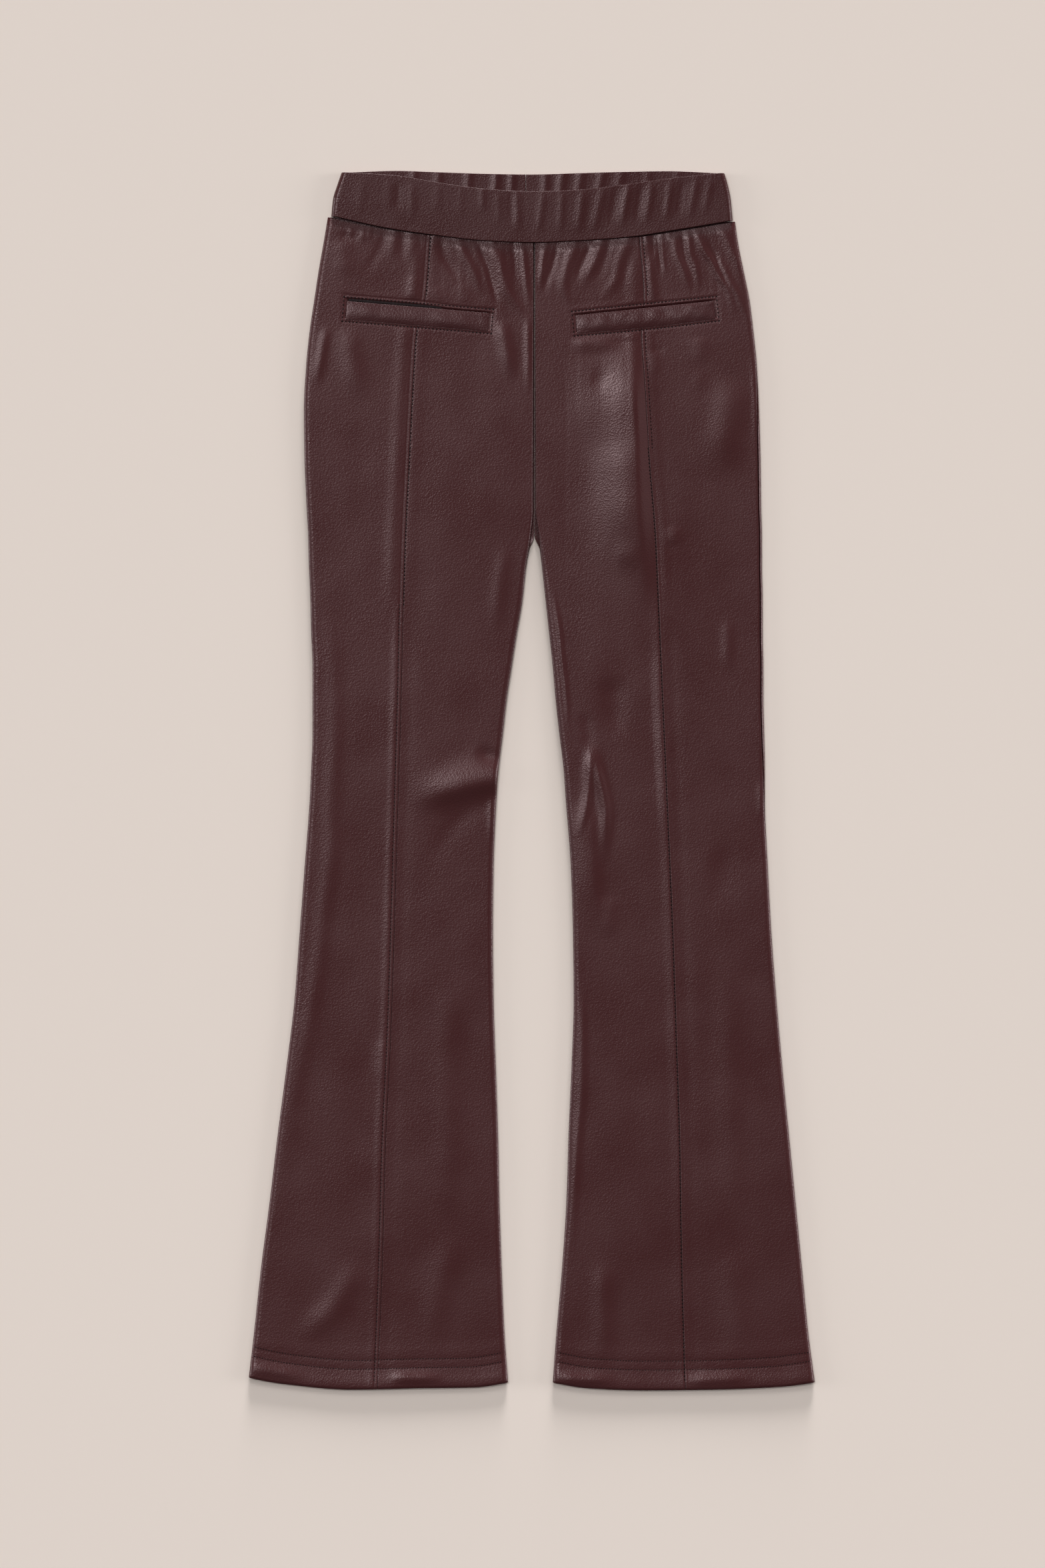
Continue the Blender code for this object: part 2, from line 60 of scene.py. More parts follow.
# %% Outline of the legs
OUTLINE_COLUMNS = ("drop", "left_side", "left_inner", "right_inner", "right_side")
OUTLINE = (
    (32, -140.5, 2.0, 2.0, 140.0),
    (50, -143.5, 2.0, 2.0, 142.5),
    (70, -147.0, 2.0, 2.0, 146.5),
    (90, -150.0, 2.0, 2.0, 150.5),
    (110, -153.0, 2.0, 2.0, 153.0),
    (135, -155.5, 2.0, 2.0, 155.5),
    (165, -157.0, 2.0, 2.0, 157.0),
    (200, -156.5, 2.0, 2.0, 158.0),
    (234, -155.0, 2.0, 2.0, 158.5),
    (253, -154.0, 0.0, 4.5, 159.0),
    (273, -153.5, -3.5, 7.0, 159.0),
    (296, -152.5, -6.0, 9.5, 159.5),
    (319, -152.0, -10.0, 12.0, 159.5),
    (342, -151.0, -13.5, 14.5, 160.0),
    (365, -151.0, -17.0, 16.5, 160.0),
    (388, -151.0, -19.5, 19.0, 160.5),
    (413, -152.0, -22.5, 22.0, 161.0),
    (434, -153.0, -24.0, 23.5, 161.0),
    (480, -156.5, -26.0, 27.0, 163.0),
    (526, -160.0, -26.5, 28.5, 165.5),
    (572, -163.5, -26.0, 29.0, 169.0),
    (618, -169.0, -24.5, 27.5, 173.0),
    (664, -175.0, -23.0, 25.5, 177.5),
    (710, -180.5, -22.0, 24.0, 182.0),
    (756, -186.5, -20.5, 21.0, 186.5),
    (802, -191.5, -18.5, 17.0, 191.0),
    (836, -195.5, -16.0, 14.5, 195.5),
)


def through(at, rows, column):
    """A smooth curve, with no overshoot, through one column of a table against its first."""
    knots = np.array([row[0] for row in rows], float)
    values = np.array([row[column] for row in rows], float)
    steps = np.diff(values) / np.diff(knots)
    slopes = np.concatenate([steps[:1], np.zeros(len(steps) - 1), steps[-1:]])
    steady = steps[:-1] * steps[1:] > 0
    slopes[1:-1][steady] = (2 * steps[:-1] * steps[1:])[steady] / (steps[:-1] + steps[1:])[steady]
    at = np.clip(np.asarray(at, float), knots[0], knots[-1])
    cell = np.clip(np.searchsorted(knots, at) - 1, 0, len(knots) - 2)
    width = knots[cell + 1] - knots[cell]
    t = (at - knots[cell]) / width
    return (
        values[cell] * (2 * t**3 - 3 * t**2 + 1)
        + slopes[cell] * width * (t**3 - 2 * t**2 + t)
        + values[cell + 1] * (3 * t**2 - 2 * t**3)
        + slopes[cell + 1] * width * (t**3 - t**2)
    )


def outline(drop, column):
    return through(drop, OUTLINE, OUTLINE_COLUMNS.index(column))


def inward(which):
    """Which way x runs from a leg's side toward the centre."""
    return 1 if which == "left" else -1


print("outline rows:", len(OUTLINE), "from drop", OUTLINE[0][0], "to", OUTLINE[-1][0])

# %% Front seams, hem and waistband
# The raised strip of each front seam: drop, left x, right x.
SEAM_STRIP = (
    (45, -70.8, 75.3),
    (90, -74.5, 78.7),
    (109, -80.0, 76.9),
    (150, -83.0, 79.4),
    (200, -85.5, 82.4),
    (250, -88.0, 86.5),
    (300, -89.6, 88.8),
    (363, -91.0, 91.6),
    (450, -93.6, 95.4),
    (533, -96.0, 98.9),
    (599, -98.3, 101.1),
    (670, -101.7, 103.4),
    (750, -103.9, 104.7),
    (841, -107.4, 107.2),
)

# Edge of the hem: share of the way from the side to the inner edge, drop left, drop right.
HEM_EDGE = (
    (0.0, 832.0, 835.5),
    (0.15, 837.0, 839.0),
    (0.4, 841.0, 841.0),
    (0.65, 840.0, 841.5),
    (0.85, 839.5, 840.0),
    (1.0, 835.5, 835.5),
)

# The waistband's edges: their drops at each x.
BAND_COLUMNS = ("x", "front_top", "front_bottom", "back_top", "back_bottom")
BAND_EDGES = (
    (-139, 1.5, 32.0, 1.5, 32.0),
    (-101, 3.7, 40.0, 0.3, 35.0),
    (-68, 8.7, 44.7, 1.3, 36.5),
    (-34, 12.9, 48.4, 2.3, 37.0),
    (0, 14.7, 49.7, 2.8, 37.0),
    (34, 13.5, 48.4, 1.9, 37.0),
    (68, 9.8, 46.0, 1.0, 36.5),
    (101, 5.6, 41.2, 0.5, 36.0),
    (139, 2.0, 35.0, 2.0, 35.0),
)


def own_column(which):
    """Which column is this leg's, in a table with one for the left and one for the right."""
    return 1 if which == "left" else 2


def strip_x(drop, which):
    """The middle of a front seam's strip."""
    return through(drop, SEAM_STRIP, own_column(which))


def band_edge(x, column):
    """The drop of one of the waistband's edges."""
    return through(x, BAND_EDGES, BAND_COLUMNS.index(column))


print("waistband:", BAND_EDGES[-1][0] - BAND_EDGES[0][0], "mm across")

# %% [markdown]
# ## Creases and gathers
#
# The elastic in the waistband is shorter than the cloth sewn to it, so the cloth is drawn into
# soft ridges that fan out below the seam, each a little different. A noise texture would make
# them all alike, and a cloth simulation would put them anywhere. They are drawn instead, as
# lines on the pattern, each with its own height, half width and lean, which makes one flank
# steeper. A negative height is a trough.

# %% Gathers under the waistband
GATHERS = (
    # height, half width, lean, then the line's points as (x, drop)
    (0.35, 1.5, 0.0, (-125, 38), (-126, 48)),
    (0.35, 1.5, 0.0, (-116, 38), (-118, 50)),
    (0.30, 1.3, 0.0, (-112, 38), (-113.5, 49)),
    (-0.40, 2.6, 0.0, (-134, 43), (-119, 46)),
    (0.55, 7.5, 0.0, (-136, 44), (-134, 58), (-133, 74)),
    (-0.35, 3.0, 0.2, (-101, 36), (-106, 51), (-112, 62), (-121, 73)),
    (0.42, 3.0, 0.0, (-94, 36), (-97, 48), (-99, 62)),
    (-0.35, 2.4, 0.0, (-90, 38), (-91, 64)),
    (0.34, 2.4, 0.0, (-84, 38), (-84.5, 50), (-85, 64)),
    (0.30, 4.0, 0.0, (-84, 71), (-84, 90)),
    (-0.30, 2.2, 0.0, (-78, 40), (-79, 58)),
    (0.40, 2.0, 0.0, (-67, 42), (-66, 52)),
    (-0.85, 3.0, 0.2, (-67, 42), (-62, 58), (-57, 66), (-49, 78)),
    (0.95, 2.6, -0.2, (-53, 43), (-47, 58), (-42, 67), (-34, 88)),
    (-0.95, 1.7, 0.2, (-40, 46), (-33, 62), (-29, 75), (-26, 87), (-25.6, 98)),
    (0.95, 3.6, -0.1, (-30, 44), (-24, 62), (-21, 72), (-18, 83), (-10, 94), (-5, 104)),
    (-0.45, 2.3, 0.0, (-15, 46), (-13, 62), (-11, 82)),
    (0.60, 2.1, 0.0, (-8, 46), (-6, 66), (-4, 83), (-2, 100)),
    (0.30, 4.0, 0.0, (-69, 78), (-63, 92)),
    (0.35, 4.5, 0.0, (-51, 76), (-46, 92)),
    (0.75, 2.1, 0.0, (10, 46), (7, 60), (6, 71), (4.5, 82)),
    (-0.75, 2.3, 0.1, (18, 46), (13, 65), (9, 76), (5.6, 88)),
    (0.88, 3.4, 0.0, (31, 44), (24.6, 60), (20.6, 73), (20.6, 82), (28, 94)),
    (-0.80, 1.7, 0.1, (42.5, 46), (33.5, 64), (28, 80)),
    (0.40, 1.0, 0.0, (40, 48), (43, 59)),
    (0.82, 2.4, -0.1, (49, 43), (43.5, 60), (39, 69), (33, 82)),
    (-0.65, 2.3, 0.0, (54, 44), (48, 64), (43, 79)),
    (0.80, 3.3, 0.0, (66, 42), (59, 62), (56, 75), (44, 90)),
    (-0.60, 2.8, 0.0, (70, 44), (64, 65), (58, 82)),
    (0.35, 1.2, 0.0, (78, 42), (78.5, 50)),
    (-1.00, 2.3, 0.1, (82.5, 41), (83, 60)),
    (-0.95, 1.3, 0.3, (86.3, 41), (87, 55), (89, 74)),
    (0.55, 1.1, 0.0, (88.6, 41), (89.6, 56), (91.5, 74)),
    (0.55, 3.0, 0.0, (80, 58), (81, 75), (84, 86), (92, 91)),
    (0.35, 1.3, 0.0, (94, 40), (95, 50)),
    (0.75, 2.4, 0.0, (97, 40), (99, 57), (104, 69), (108, 86)),
    (-0.65, 1.8, 0.0, (103, 41), (104.5, 57), (109.5, 75)),
    (0.70, 1.9, 0.0, (107, 40), (108.5, 56), (113, 69), (116, 84)),
    (1.00, 2.3, 0.1, (111, 37), (117, 53), (123, 62), (128, 72), (134, 81), (138, 93), (142, 104)),
    (-0.60, 1.9, 0.0, (121, 46), (126, 60), (133, 75), (140, 90)),
    (0.85, 2.3, 0.0, (127, 58), (135, 75), (141, 85), (145, 95), (151, 108)),
    (0.65, 3.2, 0.0, (128, 35), (137, 55), (147, 74)),
)
print("gathers:", len(GATHERS))

# %% [markdown]
# ## Creases of the legs
#
# Lower down the cloth lies nearly flat. It has a long soft swelling inside each outer edge,
# the marks of the pocket behind it, and one folded crease inward of each knee, where the leg
# bends when it is worn. These are wider and lower than the gathers, but the same kind of row
# describes them, so that one number still raises or softens a crease.

# %% Creases below the pockets and on the legs
# The columns are those of the gathers.
LEG_CREASES = (
    (0.50, 3.0, 0.0, (-143, 106), (-147, 128), (-151, 150)),
    (0.50, 7.5, 0.0, (-131, 104), (-128, 130), (-120, 158)),
    (0.65, 4.5, 0.0, (-24, 101), (-20.6, 117), (-16, 146)),
    (0.40, 2.6, 0.0, (-4, 98), (-3.6, 120), (-3.6, 156)),
    (0.45, 5.5, 0.0, (24, 118), (41, 117), (60, 117)),
    (-0.22, 6.0, 0.0, (38, 140), (44, 142), (51, 144)),
    (2.70, 15.0, -0.55, (62, 112), (63, 160), (65, 212), (68, 305)),
    (0.22, 9.0, -0.20, (56, 114), (58, 138), (62, 166)),
    (0.50, 13.0, -0.20, (54, 180), (58, 218), (60, 262)),
    (0.30, 10.0, 0.0, (30, 118), (33, 150), (34, 190)),
    (-0.12, 3.6, 0.0, (81, 122), (91, 124)),
    (0.20, 3.6, 0.0, (83, 122), (84, 142)),
    (0.70, 12.0, 0.0, (134, 138), (128, 172), (122, 212)),
    (0.22, 5.5, 0.0, (113, 112), (113, 132)),
    (0.15, 5.0, 0.0, (113, 136), (113, 152)),
    (0.30, 5.0, 0.0, (95, 244), (95, 258)),
    (0.35, 8.0, 0.0, (52, 262), (74, 262)),
    (0.35, 2.8, 0.0, (153.5, 125), (154, 150), (153.5, 195)),
    (
        0.34, 5.8, 0.0, (-145, 292), (-140, 335), (-139, 390), (-142, 440), (-141, 465),
        (-146, 503), (-150, 540), (-156, 580), (-162, 610), (-168, 640), (-176, 700), (-180, 745),
    ),
    (1.85, 11.0, -0.20, (0, 415), (-28, 415), (-54, 420), (-94, 432)),
    (-0.70, 5.0, 0.0, (-20, 406), (-32, 402), (-43, 398)),
    (-0.20, 7.0, 0.0, (-28, 427), (-48, 441), (-62, 455), (-78, 486)),
    (0.30, 5.0, 0.0, (-20, 256), (-25, 285), (-28, 320)),
    (0.40, 3.0, 0.0, (-29, 430), (-28, 464)),
    (0.60, 8.5, 0.0, (-124, 748), (-139, 778), (-154, 793), (-170, 809)),
    (0.30, 5.0, 0.0, (-106, 596), (-106, 632)),
    (0.40, 1.6, 0.0, (14, 290), (18, 314), (20, 334), (23, 360), (25, 392)),
    (0.75, 2.8, -0.2, (39.4, 396), (38.6, 412), (38.2, 426), (36, 440), (30, 462)),
    (1.10, 3.8, -0.1, (40.4, 396), (43, 410), (46, 422), (48.5, 433), (49.5, 445), (47, 480)),
    (-0.25, 4.2, 0.0, (34, 372), (37, 388), (39, 404)),
    (-0.45, 9.0, 0.0, (51, 345), (54, 392)),
    (0.80, 9.0, -0.3, (34, 428), (36, 466), (40, 530)),
    (0.45, 2.4, 0.0, (85, 335), (86.5, 370), (88.5, 410), (91, 470)),
    (0.30, 6.0, 0.0, (50, 498), (50, 530)),
    (0.45, 3.0, 0.0, (33, 560), (33, 632), (30, 670), (25, 756)),
    (-0.18, 8.0, 0.0, (133, 455), (125, 488), (115, 520)),
    (0.30, 3.0, 0.0, (157, 420), (158, 448)),
    (0.30, 4.0, 0.0, (133, 308), (133, 346)),
    (0.50, 6.5, 0.0, (45, 750), (46, 790), (47, 822)),
    (0.40, 9.0, 0.0, (-60, 730), (-72, 790), (-82, 820)),
    (0.35, 10.0, 0.0, (130, 740), (140, 822)),
    (0.50, 4.2, 0.0, (-198, 824), (-180, 826), (-156, 831)),
    (0.60, 3.8, 0.0, (-100, 831), (-82, 831), (-60, 831)),
    (0.55, 4.0, 0.0, (14, 831), (36, 832), (60, 832)),
    (0.50, 4.0, 0.0, (102, 833), (128, 832), (156, 830)),
    (0.30, 9.0, 0.0, (-62, 540), (-64, 640), (-60, 730)),
    (0.30, 9.0, 0.0, (128, 540), (132, 640), (140, 730)),
)
print("creases of the legs:", len(LEG_CREASES))

# %% [markdown]
# ## From a row of the table to a ridge
#
# A ridge could be sculpted, or displaced by a painted picture, but neither can be read or
# corrected later. Here a smooth line goes through the row's points, every point of the cloth
# is measured from it, and a bell curve over that distance gives the height. Both ends fade.

# %% Helpers that raise a crease
LINE_STEPS = 5
# The tables give where a ridge is seen as a light line, which is on its flank toward the key
# light. Its crest lies this far beyond, in half widths across and down.
AWAY_FROM_KEY = (0.54, 0.42)
# How far from its line a crease is worked out, in half widths.
CREASE_REACH = 3.0
# Shares of its length over which a crease rises at its start, and sinks toward its end.
CREASE_STARTS = (-0.05, 0.26)
CREASE_ENDS = (0.55, 1.0)


def ease(value, start, end):
    """0 before start, 1 after end, and a smooth step between."""
    t = np.clip((np.asarray(value, float) - start) / (end - start), 0, 1)
    return t * t * (3 - 2 * t)


def swell(distance, half_width):
    """A soft ridge's section: 1 on its line, fading to both sides."""
    return np.exp(-((distance / half_width) ** 2))


def smooth_line(points):
    """Points of a smooth line through the given ones."""
    knots = np.array([points[0], *points, points[-1]], float)
    line = [knots[1]]
    for before, start, end, after in zip(knots, knots[1:], knots[2:], knots[3:]):
        for t in np.linspace(0, 1, LINE_STEPS + 1)[1:]:
            line.append(0.5 * (
                2 * start + (end - before) * t
                + (2 * before - 5 * start + 4 * end - after) * t**2
                + (3 * start - before - 3 * end + after) * t**3
            ))
    return np.array(line)


def add_crease(rise, x, drop, crease):
    """Adds one crease to the rise of the cloth at these points."""
    height, half_width, lean, *points = crease
    line = smooth_line(points) + np.array(AWAY_FROM_KEY) * half_width
    reach = CREASE_REACH * half_width
    near = (
        (x > line[:, 0].min() - reach) & (x < line[:, 0].max() + reach)
        & (drop > line[:, 1].min() - reach) & (drop < line[:, 1].max() + reach)
    )
    if not near.any():
        return
    at = np.stack([x[near], drop[near]], axis=-1)
    lengths = np.hypot(*np.diff(line, axis=0).T)
    starts = np.concatenate([[0], np.cumsum(lengths)])
    closest = np.full(len(at), np.inf)
    side = np.ones(len(at))
    along = np.zeros(len(at))
    for start, end, length, begins in zip(line, line[1:], lengths, starts):
        run = (end - start) / length
        reached = np.clip((at - start) @ run, 0, length)
        apart = at - start - reached[:, None] * run
        distance = np.hypot(*apart.T)
        better = distance < closest
        closest[better] = distance[better]
        side[better] = np.sign(apart @ np.array([run[1], -run[0]]))[better]
        along[better] = ((begins + reached) / starts[-1])[better]
    fade = ease(along, *CREASE_STARTS) * (1 - ease(along, *CREASE_ENDS))
    rise[near] += height * fade * swell(closest, half_width * (1 + lean * side))


strongest = max(GATHERS)
x_test, drop_test = np.meshgrid(np.arange(100.0, 150.0), np.arange(30.0, 110.0))
rise_test = np.zeros(x_test.shape)
add_crease(rise_test, x_test, drop_test, strongest)
print("the strongest gather:", strongest[0], "mm in its row and", round(float(rise_test.max()), 2),
      "mm on the cloth")

# %% [markdown]
# ## The unevenness between the creases
#
# Coated cloth is never quite flat, and its satin surface shows every small wave as a soft
# change of light. A few dozen sine waves with random directions, summed, give that at little
# cost. The seed is fixed, so each run makes the same cloth.

# %% Soft waves
WAVES_SEED = 7
# Count of the waves, the shortest and the longest of them, and their height.
WIDE_WAVES = (18, 80.0, 170.0, 0.035)
SMALL_WAVES = (40, 18.0, 42.0, 0.006)
# Below 1, the waves are longer down the leg than across it.
DOWN_SHARE = 0.6


def soft_waves(x, drop):
    """The rise of the cloth from all its small uneven waves."""
    random = np.random.default_rng(WAVES_SEED)
    rise = np.zeros(np.broadcast(x, drop).shape)
    for count, shortest, longest, height in (WIDE_WAVES, SMALL_WAVES):
        for _ in range(count):
            turn = random.uniform(0, math.pi)
            pitch = random.uniform(shortest, longest)
            phase = random.uniform(0, 2 * math.pi)
            run = x * math.cos(turn) + drop * DOWN_SHARE * math.sin(turn)
            rise += height * np.sin(2 * math.pi * run / pitch + phase)
    return rise


print("waves:", WIDE_WAVES[0] + SMALL_WAVES[0])

# %% Fine ripples of the drawn cloth
FINE_RIPPLES = (
    # x, drop, reach across, reach down, height
    (60, 172, 13, 34, 0.018),
    (61, 228, 15, 22, 0.020),
    (58, 132, 9, 8, 0.018),
    (36, 140, 7, 26, 0.018),
    (-22, 62, 14, 26, 0.03),
    (-44, 66, 14, 20, 0.03),
    (-58, 84, 12, 12, 0.03),
    (24, 66, 16, 24, 0.03),
    (122, 72, 16, 26, 0.03),
)
RIPPLE_PITCH = 5.6
# The ripples bend to and fro on their way down: how far, how slowly, and from which turn.
RIPPLE_BENDS = ((0.55, 9.0, 0.0), (0.8, 23.0, 1.3))
# A weaker set between them: its share of the height, its pitch and its bends against the
# first set's, and how slowly it drifts across.
WEAKER_RIPPLES = (0.6, 1.62, 1.7, 17)


def fine_ripples(x, drop):
    """Fine upright ripples in the places where the cloth is drawn down the leg."""
    rise = np.zeros(np.broadcast(x, drop).shape)
    bend = sum(far * np.sin(drop / slowly + turn) for far, slowly, turn in RIPPLE_BENDS)
    weaker, wider, bendier, drift = WEAKER_RIPPLES
    bands = np.sin(2 * math.pi * (x + bend) / RIPPLE_PITCH)
    bands = bands + weaker * np.sin(
        2 * math.pi * (x + bendier * bend) / (wider * RIPPLE_PITCH) + drop / drift
    )
    for middle, middle_drop, across, down, height in FINE_RIPPLES:
        rise += height * bands * swell(x - middle, across) * swell(drop - middle_drop, down)
    return rise


print("places with fine ripples:", len(FINE_RIPPLES))

# %% [markdown]
# ## Pockets, seams and hems in the height of the cloth
#
# The front is one surface in this lesson, whatever piece it belongs to, so a crease can run
# over a seam. Strips and hems could be meshes of their own, laid on top, but each would need
# fitting to every crease below it. A sum fits by itself: the flat rise of the leg, the
# creases, the pull of the waistband, the raised strip along each front seam, the opening of
# each pocket, and the two stitched rows of the hem.

# %% Where the pocket welts lie
WELT_DEPTH = 12.4
# How far each mouth gapes above its welt, at its side end and at its centre end, and the
# shares of its length between which it narrows.
MOUTH = {"left": (2.0, 0.7), "right": (0.9, 0.8)}
MOUTH_NARROWS = (0.45, 0.80)
# The welt's upper corner toward the side, the one toward the centre, and its lower edge's bow.
WELTS = {
    "left": (-127.5, 90.0, -28.5, 98.3, 0.0),
    "right": (126.0, 89.8, 30.0, 99.8, 0.8),
}


def welt_frame(which):
    """A welt's length, the way along it from its side end, and the way down it."""
    side_x, side_drop, centre_x, centre_drop, _ = WELTS[which]
    run = np.array([centre_x - side_x, centre_drop - side_drop])
    length = np.hypot(*run)
    run = run / length
    down = np.array([-run[1], run[0]]) * np.sign(run[0])
    return length, run, down


def to_welt(x, drop, which):
    """Where a point lies on a welt: along it from its side end, and down from its top edge."""
    side_x, side_drop, *_ = WELTS[which]
    _, run, down = welt_frame(which)
    along = (x - side_x) * run[0] + (drop - side_drop) * run[1]
    below = (x - side_x) * down[0] + (drop - side_drop) * down[1]
    return along, below


def from_welt(along, below, which):
    """The garment x and drop of a point that is given by its place on a welt."""
    side_x, side_drop, *_ = WELTS[which]
    _, run, down = welt_frame(which)
    x = side_x + along * run[0] + below * down[0]
    drop = side_drop + along * run[1] + below * down[1]
    return x, drop


print("welts:", {which: round(float(welt_frame(which)[0]), 1) for which in WELTS}, "mm long")

# %% Distance from a pocket's opening
def mouth(share, which):
    """How far the mouth gapes at this share of the way along the welt."""
    side_end, centre_end = MOUTH[which]
    return side_end + (centre_end - side_end) * ease(share, *MOUTH_NARROWS)


def bowed(share, which):
    """How far the welt's lower edge bows down at this share of the way along it."""
    return WELTS[which][4] * 4 * share * (1 - share)


def outside_welt(x, drop, which):
    """Distance from the pocket's opening: positive on the panel, negative in the opening."""
    along, below = to_welt(x, drop, which)
    length = welt_frame(which)[0]
    share = np.clip(along / length, 0, 1)
    lower = WELT_DEPTH + bowed(share, which)
    across = np.maximum(-below - mouth(share, which), below - lower)
    return np.maximum(np.maximum(-along, along - length), across)


print("the left mouth gapes", mouth(0, "left"), "mm at its side end")

# %% Rise along the front seams
STRIP_HALF = 0.9
STRIP_RISE = 0.13
# The higher this power, the squarer the strip's shoulders.
STRIP_SHOULDERS = 4
# Depths of the grooves on the strip's left and right, how far off they lie, and how wide.
STRIP_GROOVES = (0.16, 0.03)
GROOVE_OFF = 0.35
GROOVE_HALF = 0.45
# What swells beside a strip above the crotch, and below it: place, half width and height.
BESIDE_UPPER = ((4.5, 2.6, 0.12), (-7.5, 4.5, 0.25))
BESIDE_LOWER = ((-3.4, 2.4, 0.26), (6.0, 4.5, -0.12))
# Drops between which the upper ones end, the lower ones start, and these lose some height.
UPPER_ENDS = (262, 312)
LOWER_STARTS = (285, 345)
LOWER_WEAKENS = (610, 720)
LOWER_LOSES = 0.45
# Distances from a pocket's opening over which the seam rises again.
SEAM_RETURNS = (0.5, 6)


def seam_shape(x, drop):
    """Rise of the cloth along the front seams: the strip, its grooves and what lies beside."""
    rise = np.zeros(np.broadcast(x, drop).shape)
    upper = 1 - ease(drop, *UPPER_ENDS)
    lower = ease(drop, *LOWER_STARTS) * (1 - LOWER_LOSES * ease(drop, *LOWER_WEAKENS))
    on_left, on_right = STRIP_GROOVES
    for which in ("left", "right"):
        off = x - strip_x(drop, which)
        beside = upper * sum(high * swell(off - at, half) for at, half, high in BESIDE_UPPER)
        beside += lower * sum(high * swell(off - at, half) for at, half, high in BESIDE_LOWER)
        ridge = STRIP_RISE * np.clip(1 - (off / STRIP_HALF) ** STRIP_SHOULDERS, 0, 1)
        grooves = on_left * swell(off + STRIP_HALF + GROOVE_OFF, GROOVE_HALF)
        grooves = grooves + on_right * swell(off - STRIP_HALF - GROOVE_OFF, GROOVE_HALF)
        clear = ease(outside_welt(x, drop, which), *SEAM_RETURNS)
        rise += clear * (beside + ridge - grooves)
    return rise


print("the strips rise", STRIP_RISE, "mm over", 2 * STRIP_HALF, "mm")

# %% Rise of the hem
UPPER_HEM_ROW = 20.4
LOWER_HEM_ROW = 14.2
HEM_GROOVE = 0.06
HEM_GROOVE_HALF = 0.8
# Swellings of the turned-up hem: distance from its edge, half width and height.
HEM_SWELLINGS = ((3.5, 7.0, 0.52), (17.3, 2.0, 0.0364), (25.0, 5.0, 0.104))
# How far the very edge curls down, and the stretch over which it does.
HEM_CURL = 0.9
HEM_CURL_RUN = (-0.4, 1.3)


def hem_shape(from_edge):
    """Rise of the hem against the distance from its edge."""
    rise = -HEM_CURL * (1 - ease(from_edge, *HEM_CURL_RUN))
    for at, half, high in HEM_SWELLINGS:
        rise = rise + high * swell(from_edge - at, half)
    for row in (UPPER_HEM_ROW, LOWER_HEM_ROW):
        rise = rise - HEM_GROOVE * swell(from_edge - row, HEM_GROOVE_HALF)
    return rise


print("the hem swells", round(float(hem_shape(HEM_SWELLINGS[0][0])), 2), "mm near its edge")

# %% Height of the fronts
LEG_RISE = 4.6
# How deep a pocket's opening is, and the distances over which the cloth sinks into it.
OPENING_DEPTH = 1.15
OPENING_LIP = (-0.8, 0.15)
# The stitched frame round it: distance from the opening, and its groove's depth and width.
FRAME_REACH = 1.9
FRAME_GROOVE = 0.16
FRAME_HALF = 0.8
# Distances from an opening over which the creases rise again.
CREASES_RETURN = (0.8, 7.0)
# How much of their height in the tables the ridges and the troughs keep.
CREASE_SHARES = ((GATHERS, 0.54, 0.46), (LEG_CREASES, 1.0, 1.0))
# How far the waistband's seam pulls the cloth in, and how far down that reaches.
BAND_PULL = 0.8
BAND_PULL_RUN = 7.0


def front_height(x, drop, hem_drop):
    """Height of the outer face of the fronts, away from their folded edges."""
    x, drop, hem_drop = np.broadcast_arrays(np.asarray(x, float), drop, hem_drop)
    creases = soft_waves(x, drop) + fine_ripples(x, drop)
    for table, ridge_share, trough_share in CREASE_SHARES:
        for height, *crease in table:
            share = ridge_share if height > 0 else trough_share
            add_crease(creases, x, drop, (height * share, *crease))
    rise = seam_shape(x, drop)
    for which in WELTS:
        outside = outside_welt(x, drop, which)
        creases = creases * ease(outside, *CREASES_RETURN)
        rise = rise - OPENING_DEPTH * (1 - ease(outside, *OPENING_LIP))
        rise = rise - FRAME_GROOVE * swell(outside - FRAME_REACH, FRAME_HALF)
    below_seam = drop - band_edge(x, "front_bottom")
    pulled_in = BAND_PULL * (1 - ease(below_seam, 0, BAND_PULL_RUN))
    return LEG_RISE + creases + rise - pulled_in + hem_shape(hem_drop - drop)


print("height at the left hip:", np.round(front_height(-120.0, 200.0, 836.0), 2), "mm")

# %% [markdown]
# ## From points to cloth
#
# A panel is a grid of points, joined by four-sided faces. The Solidify modifier gives it the
# thickness of the cloth, inward from the outer face, and a weight on each point makes the
# turned-up hem double. A second grid could do the same, but it would have to be kept parallel
# by hand. Real cut edges are never knife sharp, so a small Bevel rounds the rim, and Weighted
# Normal keeps that roundness from shading the flat cloth beside it. All are applied at once:
# what is left is a plain mesh, ready for its finish.

# %% Helpers that place points and apply modifiers
# The garment's length. The model's origin lies halfway down it.
LENGTH = 841.5


def place(x, drop, z):
    """Garment x, drop and height to the model's own frame, in metres."""
    return np.stack(np.broadcast_arrays(x, LENGTH / 2 - drop, z), axis=-1) * MM


def plain_mesh(obj):
    """The object with its modifiers applied, as the finished mesh."""
    bpy.context.view_layer.update()
    shaped = obj.evaluated_get(bpy.context.evaluated_depsgraph_get())
    mesh = bpy.data.meshes.new_from_object(shaped)
    obj.modifiers.clear()
    unfinished = obj.data
    obj.data = mesh
    bpy.data.meshes.remove(unfinished)
    mesh.name = obj.name
    return obj


print("the middle of the garment is at", place(0, LENGTH / 2, 0).round(3), "m")

# %% Helpers that make a shell
RIM = 0.35
RIM_SEGMENTS = 2
# Only an edge that turns by more than this is a rim, in degrees.
RIM_TURN = 65
# How strongly the wide faces decide the normals at the rim.
FLAT_WEIGHT = 85


